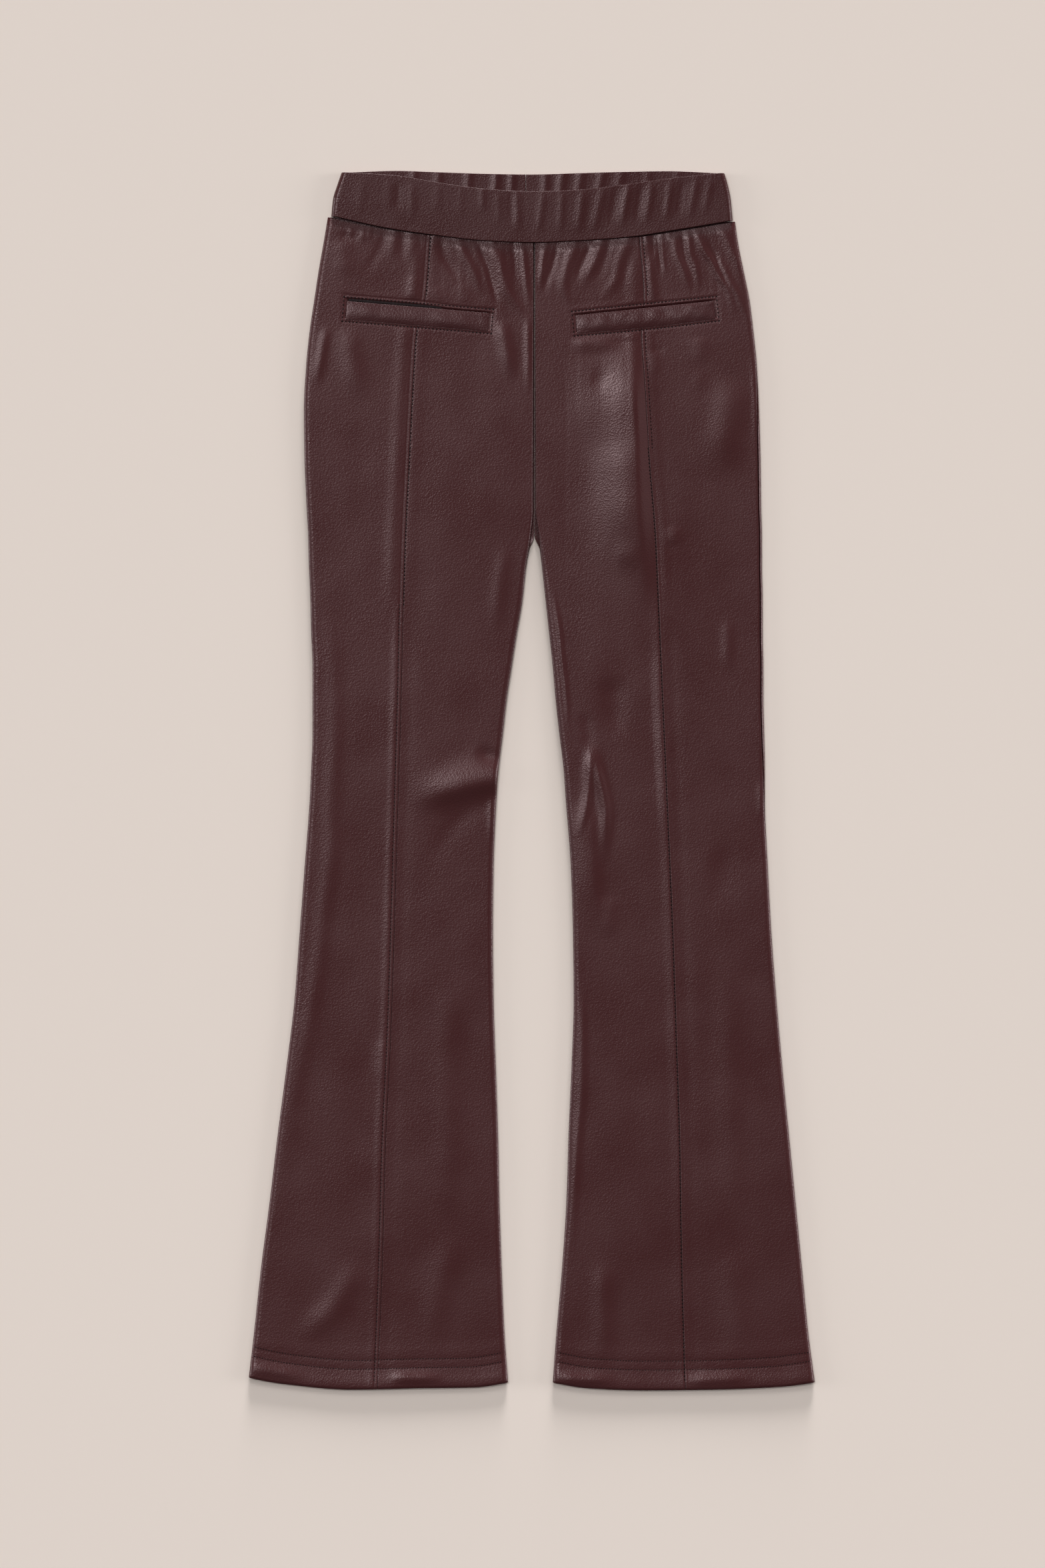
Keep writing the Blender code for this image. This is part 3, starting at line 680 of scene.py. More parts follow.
def shell(name, grid, faces_up, wall, rim=RIM):
    """A piece of cloth from a grid of points, its thickness in mm given for each point."""
    rows, columns, _ = grid.shape
    index = np.arange(rows * columns).reshape(rows, columns)
    corners = (index[:-1, :-1], index[1:, :-1], index[1:, 1:], index[:-1, 1:])
    faces = np.stack(corners if faces_up else corners[::-1], axis=-1).reshape(-1, 4)
    mesh = bpy.data.meshes.new(name)
    mesh.from_pydata(grid.reshape(-1, 3).tolist(), [], faces.tolist())
    piece = bpy.data.objects.new(name, mesh)
    bpy.context.scene.collection.objects.link(piece)

    wall = np.broadcast_to(wall, (rows, columns)).reshape(-1)
    group = piece.vertex_groups.new(name="wall")
    for thickness in np.unique(np.round(wall, 3)):
        points = np.flatnonzero(np.round(wall, 3) == thickness)
        group.add(points.tolist(), float(thickness / wall.max()), "REPLACE")
    solid = piece.modifiers.new("wall", "SOLIDIFY")
    solid.thickness = float(wall.max()) * MM
    solid.offset = -1
    solid.use_even_offset = False
    solid.use_quality_normals = True
    solid.vertex_group = "wall"
    edge = piece.modifiers.new("rim", "BEVEL")
    edge.width = rim * MM
    edge.segments = RIM_SEGMENTS
    edge.limit_method = "ANGLE"
    edge.angle_limit = math.radians(RIM_TURN)
    edge.use_clamp_overlap = True
    mesh.shade_smooth()
    # The wide faces keep their own normals up to the rim, so only the rim itself turns.
    even = piece.modifiers.new("even", "WEIGHTED_NORMAL")
    even.weight = FLAT_WEIGHT
    even.keep_sharp = False
    return plain_mesh(piece)


print("rim rounded to", RIM, "mm")

# %% [markdown]
# ## The front panels
#
# Each front is cut in two, a side piece and a centre piece, joined by the edge-stitched seam
# that runs from waist to hem. A plane could be subdivided and cut to the outline, but then its
# faces would run across the seams. The columns of these grids follow the side, the seam and
# the inner edge instead. The rows are close together at the waist and the pockets, where the
# creases are narrow, and at the hem, where the stitched rows are.

# %% Rows down a leg
# The x of the centre seam, and the gap between two pieces at any seam.
CENTRE_X = 2.0
SEAM_GAP = 0.3
ROW_ZONES = (
    # share of the way from waistband to hem, and rows up to there
    (0.0, 0), (0.004, 5), (0.055, 30), (0.102, 74), (0.26, 62), (0.50, 84), (0.64, 52),
    (0.948, 104), (0.9985, 50), (1.0, 3),
)


def leg_rows():
    shares = [0.0]
    for (start, _), (end, count) in zip(ROW_ZONES, ROW_ZONES[1:]):
        shares.extend(start + (end - start) * (i + 1) / count for i in range(count))
    return np.array(shares)


def drops_of_rows(which, share_across, layer):
    """Drops of a column's rows, and its hem, at this share of the way to the inner edge."""
    side = outline(OUTLINE[0][0], which + "_side")
    x_at_band = side + (CENTRE_X - side) * share_across
    top = band_edge(x_at_band, layer + "_bottom") + SEAM_GAP
    hem = through(share_across, HEM_EDGE, own_column(which))
    return top + (hem - top) * leg_rows(), hem


print("rows down a leg:", len(leg_rows()))

# %% The folded side edge
# Height of the edge's middle, and how far in from it the cloth lies flat.
FOLD_MID = 2.2
FOLD_REACH = 3.6
# The edge stands upright within this angle of its middle.
UPRIGHT_ANGLE = 9.0
# How far the side seam has rolled onto the front: drop, then degrees on the left and right.
SEAM_ROLL = (
    (32, 0, 0),
    (105, 0, 10),
    (190, 0, 60),
    (380, 0, 60),
    (480, 0, 10),
    (541, 0, 0),
    (841, 0, 0),
)
# Half the seam's gap in degrees, and how much more it takes where the seam has rolled.
HALF_GAP_ANGLE = 3.7
ROLLED_GAP_ADDS = 1.1
ROLLED = (1, 12)


def fold_reach(angle):
    """How far in from its silhouette a folded edge is at this angle: it stands upright at 0."""
    turn = np.clip(np.abs(angle) - UPRIGHT_ANGLE, 0, 90) * 90 / (90 - UPRIGHT_ANGLE)
    return FOLD_REACH * (1 - np.cos(np.radians(turn)))


def seam_angle(which, drop, share, upward):
    """Angle round the folded side for a share of the way from the seam to the flat face."""
    seam = through(drop, SEAM_ROLL, own_column(which))
    half_gap = HALF_GAP_ANGLE * (1 + ROLLED_GAP_ADDS * ease(seam, *ROLLED))
    start = seam + half_gap if upward else seam - half_gap
    end = 90.0 if upward else -90.0
    return start + (end - start) * share


def folded_side(which, drop, hem, angle):
    """A point on the folded side edge: 90 degrees is the front face, -90 the face below."""
    x = outline(drop, which + "_side") + inward(which) * fold_reach(angle)
    lift = np.where(angle > 0, front_height(x, drop, hem) - FOLD_MID, FOLD_MID)
    return x, FOLD_MID + lift * np.sin(np.radians(angle))


print("the right side seam rolls by up to", max(row[2] for row in SEAM_ROLL), "degrees")

# %% Side pieces of the fronts
WALL = 1.2
HEM_WALL = 2.0
# Columns along each edge of a piece where the hem stays single.
SINGLE_COLUMNS = 8
# Columns round the folded side by their angle, then those of the flat, then those of the strip
# by their distance from the piece's edge.
SIDE_FOLD = (0, 6, 13, 22, 33, 45, 57, 69, 80, 90)
SIDE_COLUMNS = 50
STRIP_COLUMNS = (3.4, 2.9, 2.45, 2.1, 1.8, 1.5, 1.2, 0.9, 0.6, 0.3, 0.0)
# Where each run of columns lies, as a share of the way across the leg: its start, and what one
# column adds or, in a flat run, all of them.
SIDE_FOLD_ACROSS = (0.0, 0.005)
SIDE_FLAT_ACROSS = (0.045, 0.43)
STRIP_ACROSS = (0.475, 0.002)


def across_leg(run, steps):
    """Share of the way across the leg, so many steps into a run of columns."""
    start, step = run
    return start + step * steps


def front_side(which):
    columns = []
    for i, angle in enumerate(SIDE_FOLD):
        drop, hem = drops_of_rows(which, across_leg(SIDE_FOLD_ACROSS, i), "front")
        turned = seam_angle(which, drop, angle / 90, True)
        x, z = folded_side(which, drop, hem, turned)
        columns.append(place(x, drop, z))
    for i in range(1, SIDE_COLUMNS):
        share = i / SIDE_COLUMNS
        drop, hem = drops_of_rows(which, across_leg(SIDE_FLAT_ACROSS, share), "front")
        start = outline(drop, which + "_side") + inward(which) * FOLD_REACH
        end = strip_x(drop, which) - inward(which) * (STRIP_COLUMNS[0] - STRIP_HALF)
        x = start + (end - start) * share
        columns.append(place(x, drop, front_height(x, drop, hem)))
    for i, before_edge in enumerate(STRIP_COLUMNS):
        drop, hem = drops_of_rows(which, across_leg(STRIP_ACROSS, i), "front")
        x = strip_x(drop, which) + inward(which) * (STRIP_HALF - before_edge)
        columns.append(place(x, drop, front_height(x, drop, hem)))
    return np.stack(columns, axis=1)


def hem_wall(grid):
    """Thickness of a leg piece: double in the turned-up hem."""
    from_hem = grid[..., 1] / MM - grid[-1:, :, 1] / MM
    wall = np.where(from_hem < UPPER_HEM_ROW, HEM_WALL, WALL)
    wall[:, :SINGLE_COLUMNS] = WALL
    wall[:, -SINGLE_COLUMNS:] = WALL
    return wall


cloth = {}


def make_both(kind, make_grid, left_faces_up):
    """The left and the right piece of one kind, each as a shell of cloth."""
    for which in ("left", "right"):
        name = kind + "_" + which
        grid = make_grid(which)
        faces_up = left_faces_up == (which == "left")
        cloth[name] = shell(name + "_cloth", grid, faces_up, hem_wall(grid))
        print(name, len(cloth[name].data.polygons), "faces")


make_both("front_side", front_side, left_faces_up=True)

# %% The fronts' edges at the centre seam
FRONT_CROTCH = 234.0
# How far the fronts dip to their seam.
CENTRE_DIP = 1.8
# The open gap between them, at the top and at the crotch.
CENTRE_GAPS = (1.2, 2.0)
# How much of its fold each keeps there, at the top and at the crotch.
CENTRE_FOLDS = {"left": (0.14, 0.40), "right": (0.06, 0.06)}
# Drops over which a size of the top turns into that of the crotch.
CENTRE_CHANGES = (80, 215)
# Distances below the front's crotch over which the legs part.
LEGS_PART = (-8, 58)


def down_centre(drop, sizes):
    """A size of the centre seam, which changes from its top to the crotch."""
    at_top, at_crotch = sizes
    return at_top + (at_crotch - at_top) * ease(drop, *CENTRE_CHANGES)


def inner_fold(which, drop):
    """How far the legs have parted, and how much of its reach the inner fold has by then."""
    parted = ease(drop - FRONT_CROTCH, *LEGS_PART)
    kept = down_centre(drop, CENTRE_FOLDS[which])
    return parted, kept + (1 - kept) * parted


def centre_gap(drop, parted):
    """Width of the open gap between the fronts."""
    gap = down_centre(drop, CENTRE_GAPS)
    return gap + (SEAM_GAP - gap) * parted


def folded_inner_edge(which, drop, hem, angle):
    """A point on a front's inner edge, which dips to the centre seam, then folds to the inseam."""
    parted, share = inner_fold(which, drop)
    x = outline(drop, which + "_inner") - inward(which) * (
        centre_gap(drop, parted) / 2 + fold_reach(angle) * share
    )
    face = front_height(x, drop, hem)
    edge = (face - CENTRE_DIP) * (1 - parted) + (FOLD_MID + SEAM_GAP / 2) * parted
    return x, edge + (face - edge) * math.sin(math.radians(angle))


print("the centre seam opens", CENTRE_GAPS[0], "to", CENTRE_GAPS[1], "mm")

# %% Centre pieces of the fronts
# Columns beside the strip by their distance from the piece's edge, then those of the flat,
# then those round the inner fold by their angle.
EDGE_COLUMNS = (0.0, 0.3, 0.7, 1.2, 1.9)
CENTRE_COLUMNS = 58
INNER_FOLD = (78, 66, 54, 42, 30, 19, 9, 0)
EDGE_ACROSS = (0.497, 0.002)
CENTRE_FLAT_ACROSS = (0.507, 0.45)
INNER_FOLD_ACROSS = (0.96, 0.005)
# The columns crowd toward the centre seam, where the cloth dips, and more so with a power
# below 1.
COLUMN_POWER = 0.9
# The flat columns stop this far before the fold.
BEFORE_FOLD = 0.1


def front_centre(which):
    columns = []
    own_edge = STRIP_HALF + SEAM_GAP
    for i, from_edge in enumerate(EDGE_COLUMNS):
        drop, hem = drops_of_rows(which, across_leg(EDGE_ACROSS, i), "front")
        x = strip_x(drop, which) + inward(which) * (own_edge + from_edge)
        columns.append(place(x, drop, front_height(x, drop, hem)))
    for i in range(1, CENTRE_COLUMNS + 1):
        share = math.sin(0.5 * math.pi * i / CENTRE_COLUMNS) ** COLUMN_POWER
        drop, hem = drops_of_rows(which, across_leg(CENTRE_FLAT_ACROSS, share), "front")
        start = strip_x(drop, which) + inward(which) * (own_edge + EDGE_COLUMNS[-1])
        parted, fold_share = inner_fold(which, drop)
        fold = centre_gap(drop, parted) / 2 + FOLD_REACH * fold_share + BEFORE_FOLD
        end = outline(drop, which + "_inner") - inward(which) * fold
        x = start + (end - start) * share
        columns.append(place(x, drop, front_height(x, drop, hem)))
    for i, angle in enumerate(INNER_FOLD):
        drop, hem = drops_of_rows(which, across_leg(INNER_FOLD_ACROSS, i), "front")
        x, z = folded_inner_edge(which, drop, hem, angle)
        columns.append(place(x, drop, z))
    return np.stack(columns, axis=1)


make_both("front_centre", front_centre, left_faces_up=True)

# %% [markdown]
# ## The backs
#
# A back leg is cut in one. It lies under the fronts, flat on the floor, and turns up at its
# side and inner edges to meet them. Only the crotch and the rolled side seam show from above,
# so a plain board would do for the picture. But the leggings can be picked up and turned over,
# so the back is a shell like the fronts, with its own shallow dents.

# %% Shape of the backs
BACK_CROTCH = 257.0
# Height, half width and lean of each dent, then its line's points, as for the gathers.
BACK_DENTS = (
    (0.45, 3.0, 0.0, (-112, 34), (-116, 60), (-118, 84)),
    (0.50, 3.2, 0.0, (-86, 34), (-88, 58), (-84, 80)),
    (0.55, 2.8, 0.0, (-58, 34), (-55, 62), (-52, 90)),
    (0.50, 3.4, 0.0, (-30, 34), (-27, 60), (-20, 88)),
    (0.45, 3.0, 0.0, (26, 34), (23, 66), (18, 86)),
    (0.55, 3.2, 0.0, (54, 34), (51, 58), (47, 92)),
    (0.50, 2.8, 0.0, (84, 34), (86, 64), (90, 82)),
    (0.45, 3.4, 0.0, (112, 34), (116, 60), (124, 88)),
    (0.40, 7.0, 0.0, (-40, 250), (-62, 262), (-88, 268)),
    (0.40, 7.0, 0.0, (42, 252), (66, 262), (92, 266)),
    (0.45, 6.0, 0.0, (-36, 428), (-66, 424), (-104, 430)),
    (0.45, 6.0, 0.0, (44, 432), (80, 426), (112, 436)),
    (0.35, 9.0, 0.0, (-120, 560), (-128, 680), (-132, 790)),
    (0.35, 9.0, 0.0, (110, 580), (124, 700), (134, 800)),
)
# Distances below the back's crotch over which the backs part, and over which their inner
# edges turn from a flat seam into a fold.
BACKS_PART = (-5, 5)
BACK_FOLD_OPENS = (-7, 18)


def back_inner(which, drop):
    """A back's inner edge: the centre back seam down to the crotch, and then the inseam."""
    parted = ease(drop - BACK_CROTCH, *BACKS_PART)
    edge = outline(drop, which + "_inner")
    return CENTRE_X + (edge - CENTRE_X) * parted - inward(which) * SEAM_GAP / 2


def rise_from(table, x, drop):
    """The rise of the cloth from all the creases of one table."""
    x, drop = np.broadcast_arrays(np.asarray(x, float), np.asarray(drop, float))
    rise = np.zeros(x.shape)
    for crease in table:
        add_crease(rise, x, drop, crease)
    return rise


print("dents of the backs:", len(BACK_DENTS))

# %% Back legs
BACK_FOLD = (-90, -76, -62, -48, -36, -25, -15, -7, 0)
BACK_COLUMNS = 34
# The dents start over this share of the way in from the side.
DENTS_START = 0.1


def back(which):
    columns = []
    for angle in BACK_FOLD[::-1]:
        drop, hem = drops_of_rows(which, 0.0, "back")
        turned = seam_angle(which, drop, angle / -90, False)
        x, z = folded_side(which, drop, hem, turned)
        columns.append(place(x, drop, z))
    for i in range(1, BACK_COLUMNS + 1):
        share = i / BACK_COLUMNS
        drop, _ = drops_of_rows(which, share, "back")
        start = outline(drop, which + "_side") + inward(which) * FOLD_REACH
        end = back_inner(which, drop) - inward(which) * FOLD_REACH
        x = start + (end - start) * share
        dents = rise_from(BACK_DENTS, x, drop) * ease(share, 0, DENTS_START)
        columns.append(place(x, drop, dents))
    for angle in BACK_FOLD[1:]:
        drop, _ = drops_of_rows(which, 1.0, "back")
        opened = ease(drop - BACK_CROTCH, *BACK_FOLD_OPENS)
        flat = FOLD_REACH * abs(angle) / 90
        reach = flat + (fold_reach(angle) - flat) * opened
        x = back_inner(which, drop) - inward(which) * reach
        turned_up = FOLD_MID - SEAM_GAP / 2
        z = opened * turned_up * (1 + math.sin(math.radians(angle)))
        columns.append(place(x, drop, z))
    return np.stack(columns, axis=1)


make_both("back", back, left_faces_up=False)

# %% [markdown]
# ## The waistband
#
# The band is one strip folded over elastic, joined at the centre back. Laid flat it makes a
# slim tube: its front dips in the middle, so the inside of its back shows above it. A bent
# cylinder could stand for it, but the front and the back have outlines of their own. So one
# grid of columns runs round the tube from the join, and every column asks the tables for its
# top and its bottom. The elastic ripples both layers.

# %% Ripples of the waistband
# The columns are those of the gathers.
BAND_RIPPLES = (
    (0.16, 3.2, 0.0, (-118, 4), (-121, 34)),
    (0.14, 3.0, 0.0, (-100, 4), (-101, 30)),
    (0.30, 2.8, 0.0, (-84, 6), (-84, 36)),
    (0.18, 2.8, 0.0, (-66, 8), (-67, 30)),
    (0.14, 2.6, 0.0, (-50, 10), (-51, 34)),
    (0.38, 2.2, 0.0, (-35, 9), (-35, 30)),
    (0.24, 2.4, 0.0, (-24, 13), (-24, 40)),
    (0.40, 2.6, 0.0, (-12, 10), (-11, 44)),
    (0.42, 2.4, 0.0, (7, 12), (3, 46)),
    (0.42, 2.4, 0.0, (20, 12), (18, 46)),
    (0.45, 2.8, 0.0, (34, 11), (30, 46)),
    (0.45, 3.0, 0.0, (48, 9), (40, 46)),
    (0.58, 2.5, 0.0, (66, 7), (60, 42)),
    (0.45, 2.4, 0.0, (82, 6), (77, 40)),
    (0.45, 2.2, 0.0, (95, 5), (91, 38)),
    (0.38, 2.2, 0.0, (113, 3), (107, 36)),
    (0.34, 2.4, 0.0, (123, 3), (117, 33)),
    (-0.28, 2.6, 0.0, (-93, 6), (-94, 30)),
    (-0.30, 2.6, 0.0, (-15, 12), (-15, 40)),
    (-0.35, 2.6, 0.0, (58, 8), (52, 42)),
    (-0.35, 2.4, 0.0, (75, 7), (70, 40)),
    (-0.30, 2.4, 0.0, (104, 4), (99, 36)),
)
BACK_BAND_RIPPLES = (
    (0.9, 2.6, 0.0, (-82, -6), (-84, 30)),
    (0.9, 2.8, 0.0, (-65, -6), (-68, 30)),
    (1.0, 2.6, 0.0, (-44, -6), (-47, 30)),
    (1.1, 2.6, 0.0, (-25, -6), (-28, 30)),
    (0.9, 2.2, 0.0, (-14, -6), (-16, 30)),
    (1.0, 2.4, 0.0, (9, -6), (7, 30)),
    (1.0, 2.8, 0.0, (21, -6), (16, 30)),
    (0.8, 2.8, 0.0, (34, -6), (28, 30)),
    (0.8, 2.8, 0.0, (49, -6), (41, 30)),
    (0.6, 2.8, 0.0, (62, -6), (54, 30)),
    (0.5, 2.6, 0.0, (80, -6), (76, 30)),
    (0.5, 2.6, 0.0, (100, -6), (98, 30)),
)
print("ripples in front:", len(BAND_RIPPLES), "and behind:", len(BACK_BAND_RIPPLES))

# %% Stations round the waistband
BAND_WALL = 2.6
BAND_RISE = 6.2
BAND_JOIN_X = -4.0
BAND_ROWS = 34
BAND_FRONT_COLUMNS = 210
BAND_BACK_COLUMNS = 90
BAND_TURN = (90, 77, 64, 51, 38, 26, 13, 0, -13, -26, -38, -51, -64, -77, -90)
# Sides of the waistband: drop, left, right.
BAND_SIDES = (
    (0, -130.5, 132.5),
    (10, -134.0, 135.5),
    (20, -137.0, 137.5),
    (36, -138.5, 139.0),
)


def band_stations():
    """Stations round the band: which part, share of the way along it, and angle of the tube."""
    for i in range(BAND_BACK_COLUMNS):
        yield "back", i / BAND_BACK_COLUMNS, -90
    for angle in BAND_TURN[::-1]:
        yield "left", 0, angle
    for i in range(1, BAND_FRONT_COLUMNS):
        yield "front", i / BAND_FRONT_COLUMNS, 90
    for angle in BAND_TURN:
        yield "right", 0, angle
    for i in range(1, BAND_BACK_COLUMNS + 1):
        yield "return", i / BAND_BACK_COLUMNS, -90


print("columns round the waistband:", len(list(band_stations())))

# %% Waistband
BAND_RIM = 0.15
# How much of their height in the tables the ripples keep, in front and behind.
BAND_RIPPLE_SHARE = 0.50
BACK_RIPPLE_SHARE = 0.38
# Toward the seam below, over these shares of its height, the front keeps only this much.
BAND_FLATTENS = (0.72, 0.95)
FLAT_KEEPS = 0.2
# The soft waves of the front, and how much closer they lie than those of the legs.
BAND_WAVES = 0.3
BAND_WAVES_CLOSER = 1.7


def waistband():
    radius = BAND_RISE / 2
    width_left, width_right = BAND_EDGES[0][0], BAND_EDGES[-1][0]
    spans = {
        "back": (BAND_JOIN_X, width_left),
        "left": (width_left, width_left),
        "front": (width_left, width_right),
        "right": (width_right, width_right),
        "return": (width_right, BAND_JOIN_X),
    }
    down = np.linspace(0, 1, BAND_ROWS)
    flat_foot = 1 - ease(down, *BAND_FLATTENS)
    columns = []
    walls = []
    for part, share, angle in band_stations():
        front = (1 + math.sin(math.radians(angle))) / 2
        start, end = spans[part]
        near = start + (end - start) * share
        top = band_edge(near, "back_top") * (1 - front) + band_edge(near, "front_top") * front
        low = band_edge(near, "back_bottom") * (1 - front) + band_edge(near, "front_bottom") * front
        drop = top + (low - top) * down
        left = through(drop, BAND_SIDES, own_column("left"))
        right = through(drop, BAND_SIDES, own_column("right"))
        turned_in = radius * math.cos(math.radians(angle))
        if part == "back":
            join = BAND_JOIN_X - SEAM_GAP / 2
            x = join + (left + radius - join) * share
        elif part == "left":
            x = left + radius - turned_in
        elif part == "front":
            x = left + radius + (right - left - 2 * radius) * share
        elif part == "right":
            x = right - radius + turned_in
        else:
            join = BAND_JOIN_X + SEAM_GAP / 2
            x = right - radius + (join - right + radius) * share
        z = radius + radius * math.sin(math.radians(angle)) + np.zeros(BAND_ROWS)
        wall = np.full(BAND_ROWS, BAND_WALL)
        if part == "front":
            kept = BAND_RIPPLE_SHARE * (FLAT_KEEPS + (1 - FLAT_KEEPS) * flat_foot)
            z = z + rise_from(BAND_RIPPLES, x, drop) * kept
            z = z + BAND_WAVES * soft_waves(x * BAND_WAVES_CLOSER, drop * BAND_WAVES_CLOSER)
        if part in ("back", "return"):
            wall = wall + BACK_RIPPLE_SHARE * rise_from(BACK_BAND_RIPPLES, x, drop)
        columns.append(place(x, drop, z))
        walls.append(wall)
    return np.stack(columns, axis=1), np.stack(walls, axis=1)


band_grid, band_wall = waistband()
cloth["waistband"] = shell("waistband_cloth", band_grid, True, band_wall, rim=BAND_RIM)
print("waistband", len(cloth["waistband"].data.polygons), "faces")

# %% [markdown]
# ## Welts and facing
#
# A welt is a narrow folded strip that closes a pocket's mouth from below. It is padded by its
# own turnings, so it swells between its edges. A bevelled box would look like a plate there, so
# the strip is a small grid, bent by a few formulas. Its upper edge lies a little below the
# cloth around it, which leaves the mouth as a dark line, and its lower edge laps over the
# cloth that it is sewn to. The left mouth gapes, and the facing behind it shows.

# %% Strips that lie in an opening
def strip_in_opening(which, ends, top, bottom, rise):
    """A strip laid along a pocket's opening, its height given above the opening's floor."""
    rows, columns = rise.shape
    share = np.linspace(ends[0], ends[1], columns)
    lower = bottom + bowed(share, which)
    below = top + (lower - top) * np.linspace(0, 1, rows)[:, None]
    x, drop = from_welt(share * welt_frame(which)[0], below, which)
    return place(x, drop, LEG_RISE - OPENING_DEPTH + SEAM_GAP + rise)


print("the openings' floor is", round(LEG_RISE - OPENING_DEPTH, 2), "mm up")

# %% Pocket welts
WELT_GRID = (22, 110)
WELT_WALL = 1.0
WELT_RIM = 0.15
WELT_ENDS = (0.004, 0.996)
WELT_TOP = 0.25
# How far the welt's lower edge laps over the cloth below.
WELT_LAP = 0.35
# Height of the upper edge, and how much higher the lower one is. From here on, places across
# a welt go from -1 at its upper edge to 1 at its lower edge, and along it from -1 to 1.
WELT_EDGE = 0.60
WELT_FOOT = 0.40
WELT_FOOT_RUN = (-0.9, 0.7)
# The foot's wall is thin, and the wall narrows to it over these places across.
WELT_FOOT_WALL = 0.25
WELT_FOOT_THINS = (0.80, 0.92)
WELT_PUFF = 0.38
# The higher this power, the nearer the puff comes to the welt's ends.
WELT_PUFF_ENDS = 10
# The rolled lip of the upper edge: place across, half width, height, the share of it that is
# left at the side end, and the places along between which it grows.
WELT_LIP = (-0.72, 0.22, 0.10, 0.35, (-0.1, 0.75))
WELT_WAVES = 8
WELT_WAVE_HEIGHT = 0.03
# What each wave is drawn from: its pace along and across the welt, and its start.
WELT_WAVE_ALONG = (6, 26)
WELT_WAVE_ACROSS = (-2, 2)
WELT_WAVE_START = (0, 6)


def welt_rise(which):
    """Height of a welt's face above the opening's floor."""
    rows, columns = WELT_GRID
    across = np.linspace(-1, 1, rows)[:, None]
    along = np.linspace(-1, 1, columns)
    if which == "right":
        along = -along
    foot = WELT_FOOT * ease(across, *WELT_FOOT_RUN)
    puff = WELT_PUFF * (1 - across**2) * (1 - along**WELT_PUFF_ENDS)
    at, half, high, kept, grows = WELT_LIP
    lip = high * swell(across - at, half) * (kept + (1 - kept) * ease(along, *grows))
    random = np.random.default_rng(WAVES_SEED + len(which))
    waves = sum(
        WELT_WAVE_HEIGHT * np.sin(
            along * random.uniform(*WELT_WAVE_ALONG) + across * random.uniform(*WELT_WAVE_ACROSS)
            + random.uniform(*WELT_WAVE_START)
        )
        for _ in range(WELT_WAVES)
    )
    return WELT_EDGE + foot + puff + lip + waves * (1 - across**2)


for which in ("left", "right"):
    name = "welt_" + which
    rise = welt_rise(which)
    grid = strip_in_opening(which, WELT_ENDS, WELT_TOP, WELT_DEPTH + WELT_LAP, rise)
    thinner = ease(np.linspace(-1, 1, WELT_GRID[0]), *WELT_FOOT_THINS)[:, None]
    wall = WELT_WALL * rise / rise.max() * (1 - thinner) + WELT_FOOT_WALL * thinner
    cloth[name] = shell(name + "_cloth", grid, which == "left", wall, rim=WELT_RIM)
    print(name, len(cloth[name].data.polygons), "faces")

# %% Facing behind the left mouth
# Its finish, facing_leather, has a near-black colour that is painted shade for the shadow inside
# the mouth.
FACING_GRID = (5, 60)
FACING_ENDS = (0.012, 0.66)
FACING_RISE = 0.7
FACING_WALL = 0.6
# How far the facing stays clear of the mouth's upper edge, and of the welt below it.
FACING_CLEAR = (0.2, 0.1)

grid = strip_in_opening(
    "left", FACING_ENDS, FACING_CLEAR[0] - MOUTH["left"][0], -FACING_CLEAR[1],
    np.full(FACING_GRID, FACING_RISE),
)
cloth["pocket_facing_left"] = shell("pocket_facing_left_cloth", grid, True, FACING_WALL)
print("facing", len(cloth["pocket_facing_left"].data.polygons), "faces")

# %% [markdown]
# ## Stitches
#
# A row of lockstitch is one short loop of thread repeated along a line. A texture could draw
# it, but a real stitch stands up and throws its own shadow, so Geometry Nodes make it: the
# line is cut at the stitch length and a small rounded stitch is set at each point, turned
# along the row. The sizes are inputs of the tree, so one tree serves the pockets, the seams
# and the hems.

# %% The stitch tree
STITCH_SEED = 11
STITCH_SIDES = 8
STITCH_RINGS = 5
# The bead is one across before it is scaled to a stitch.
BEAD_RADIUS = 0.5
# The smallest and the largest stitch, against the size that is asked for.
STITCH_SIZES = (0.88, 1.10)


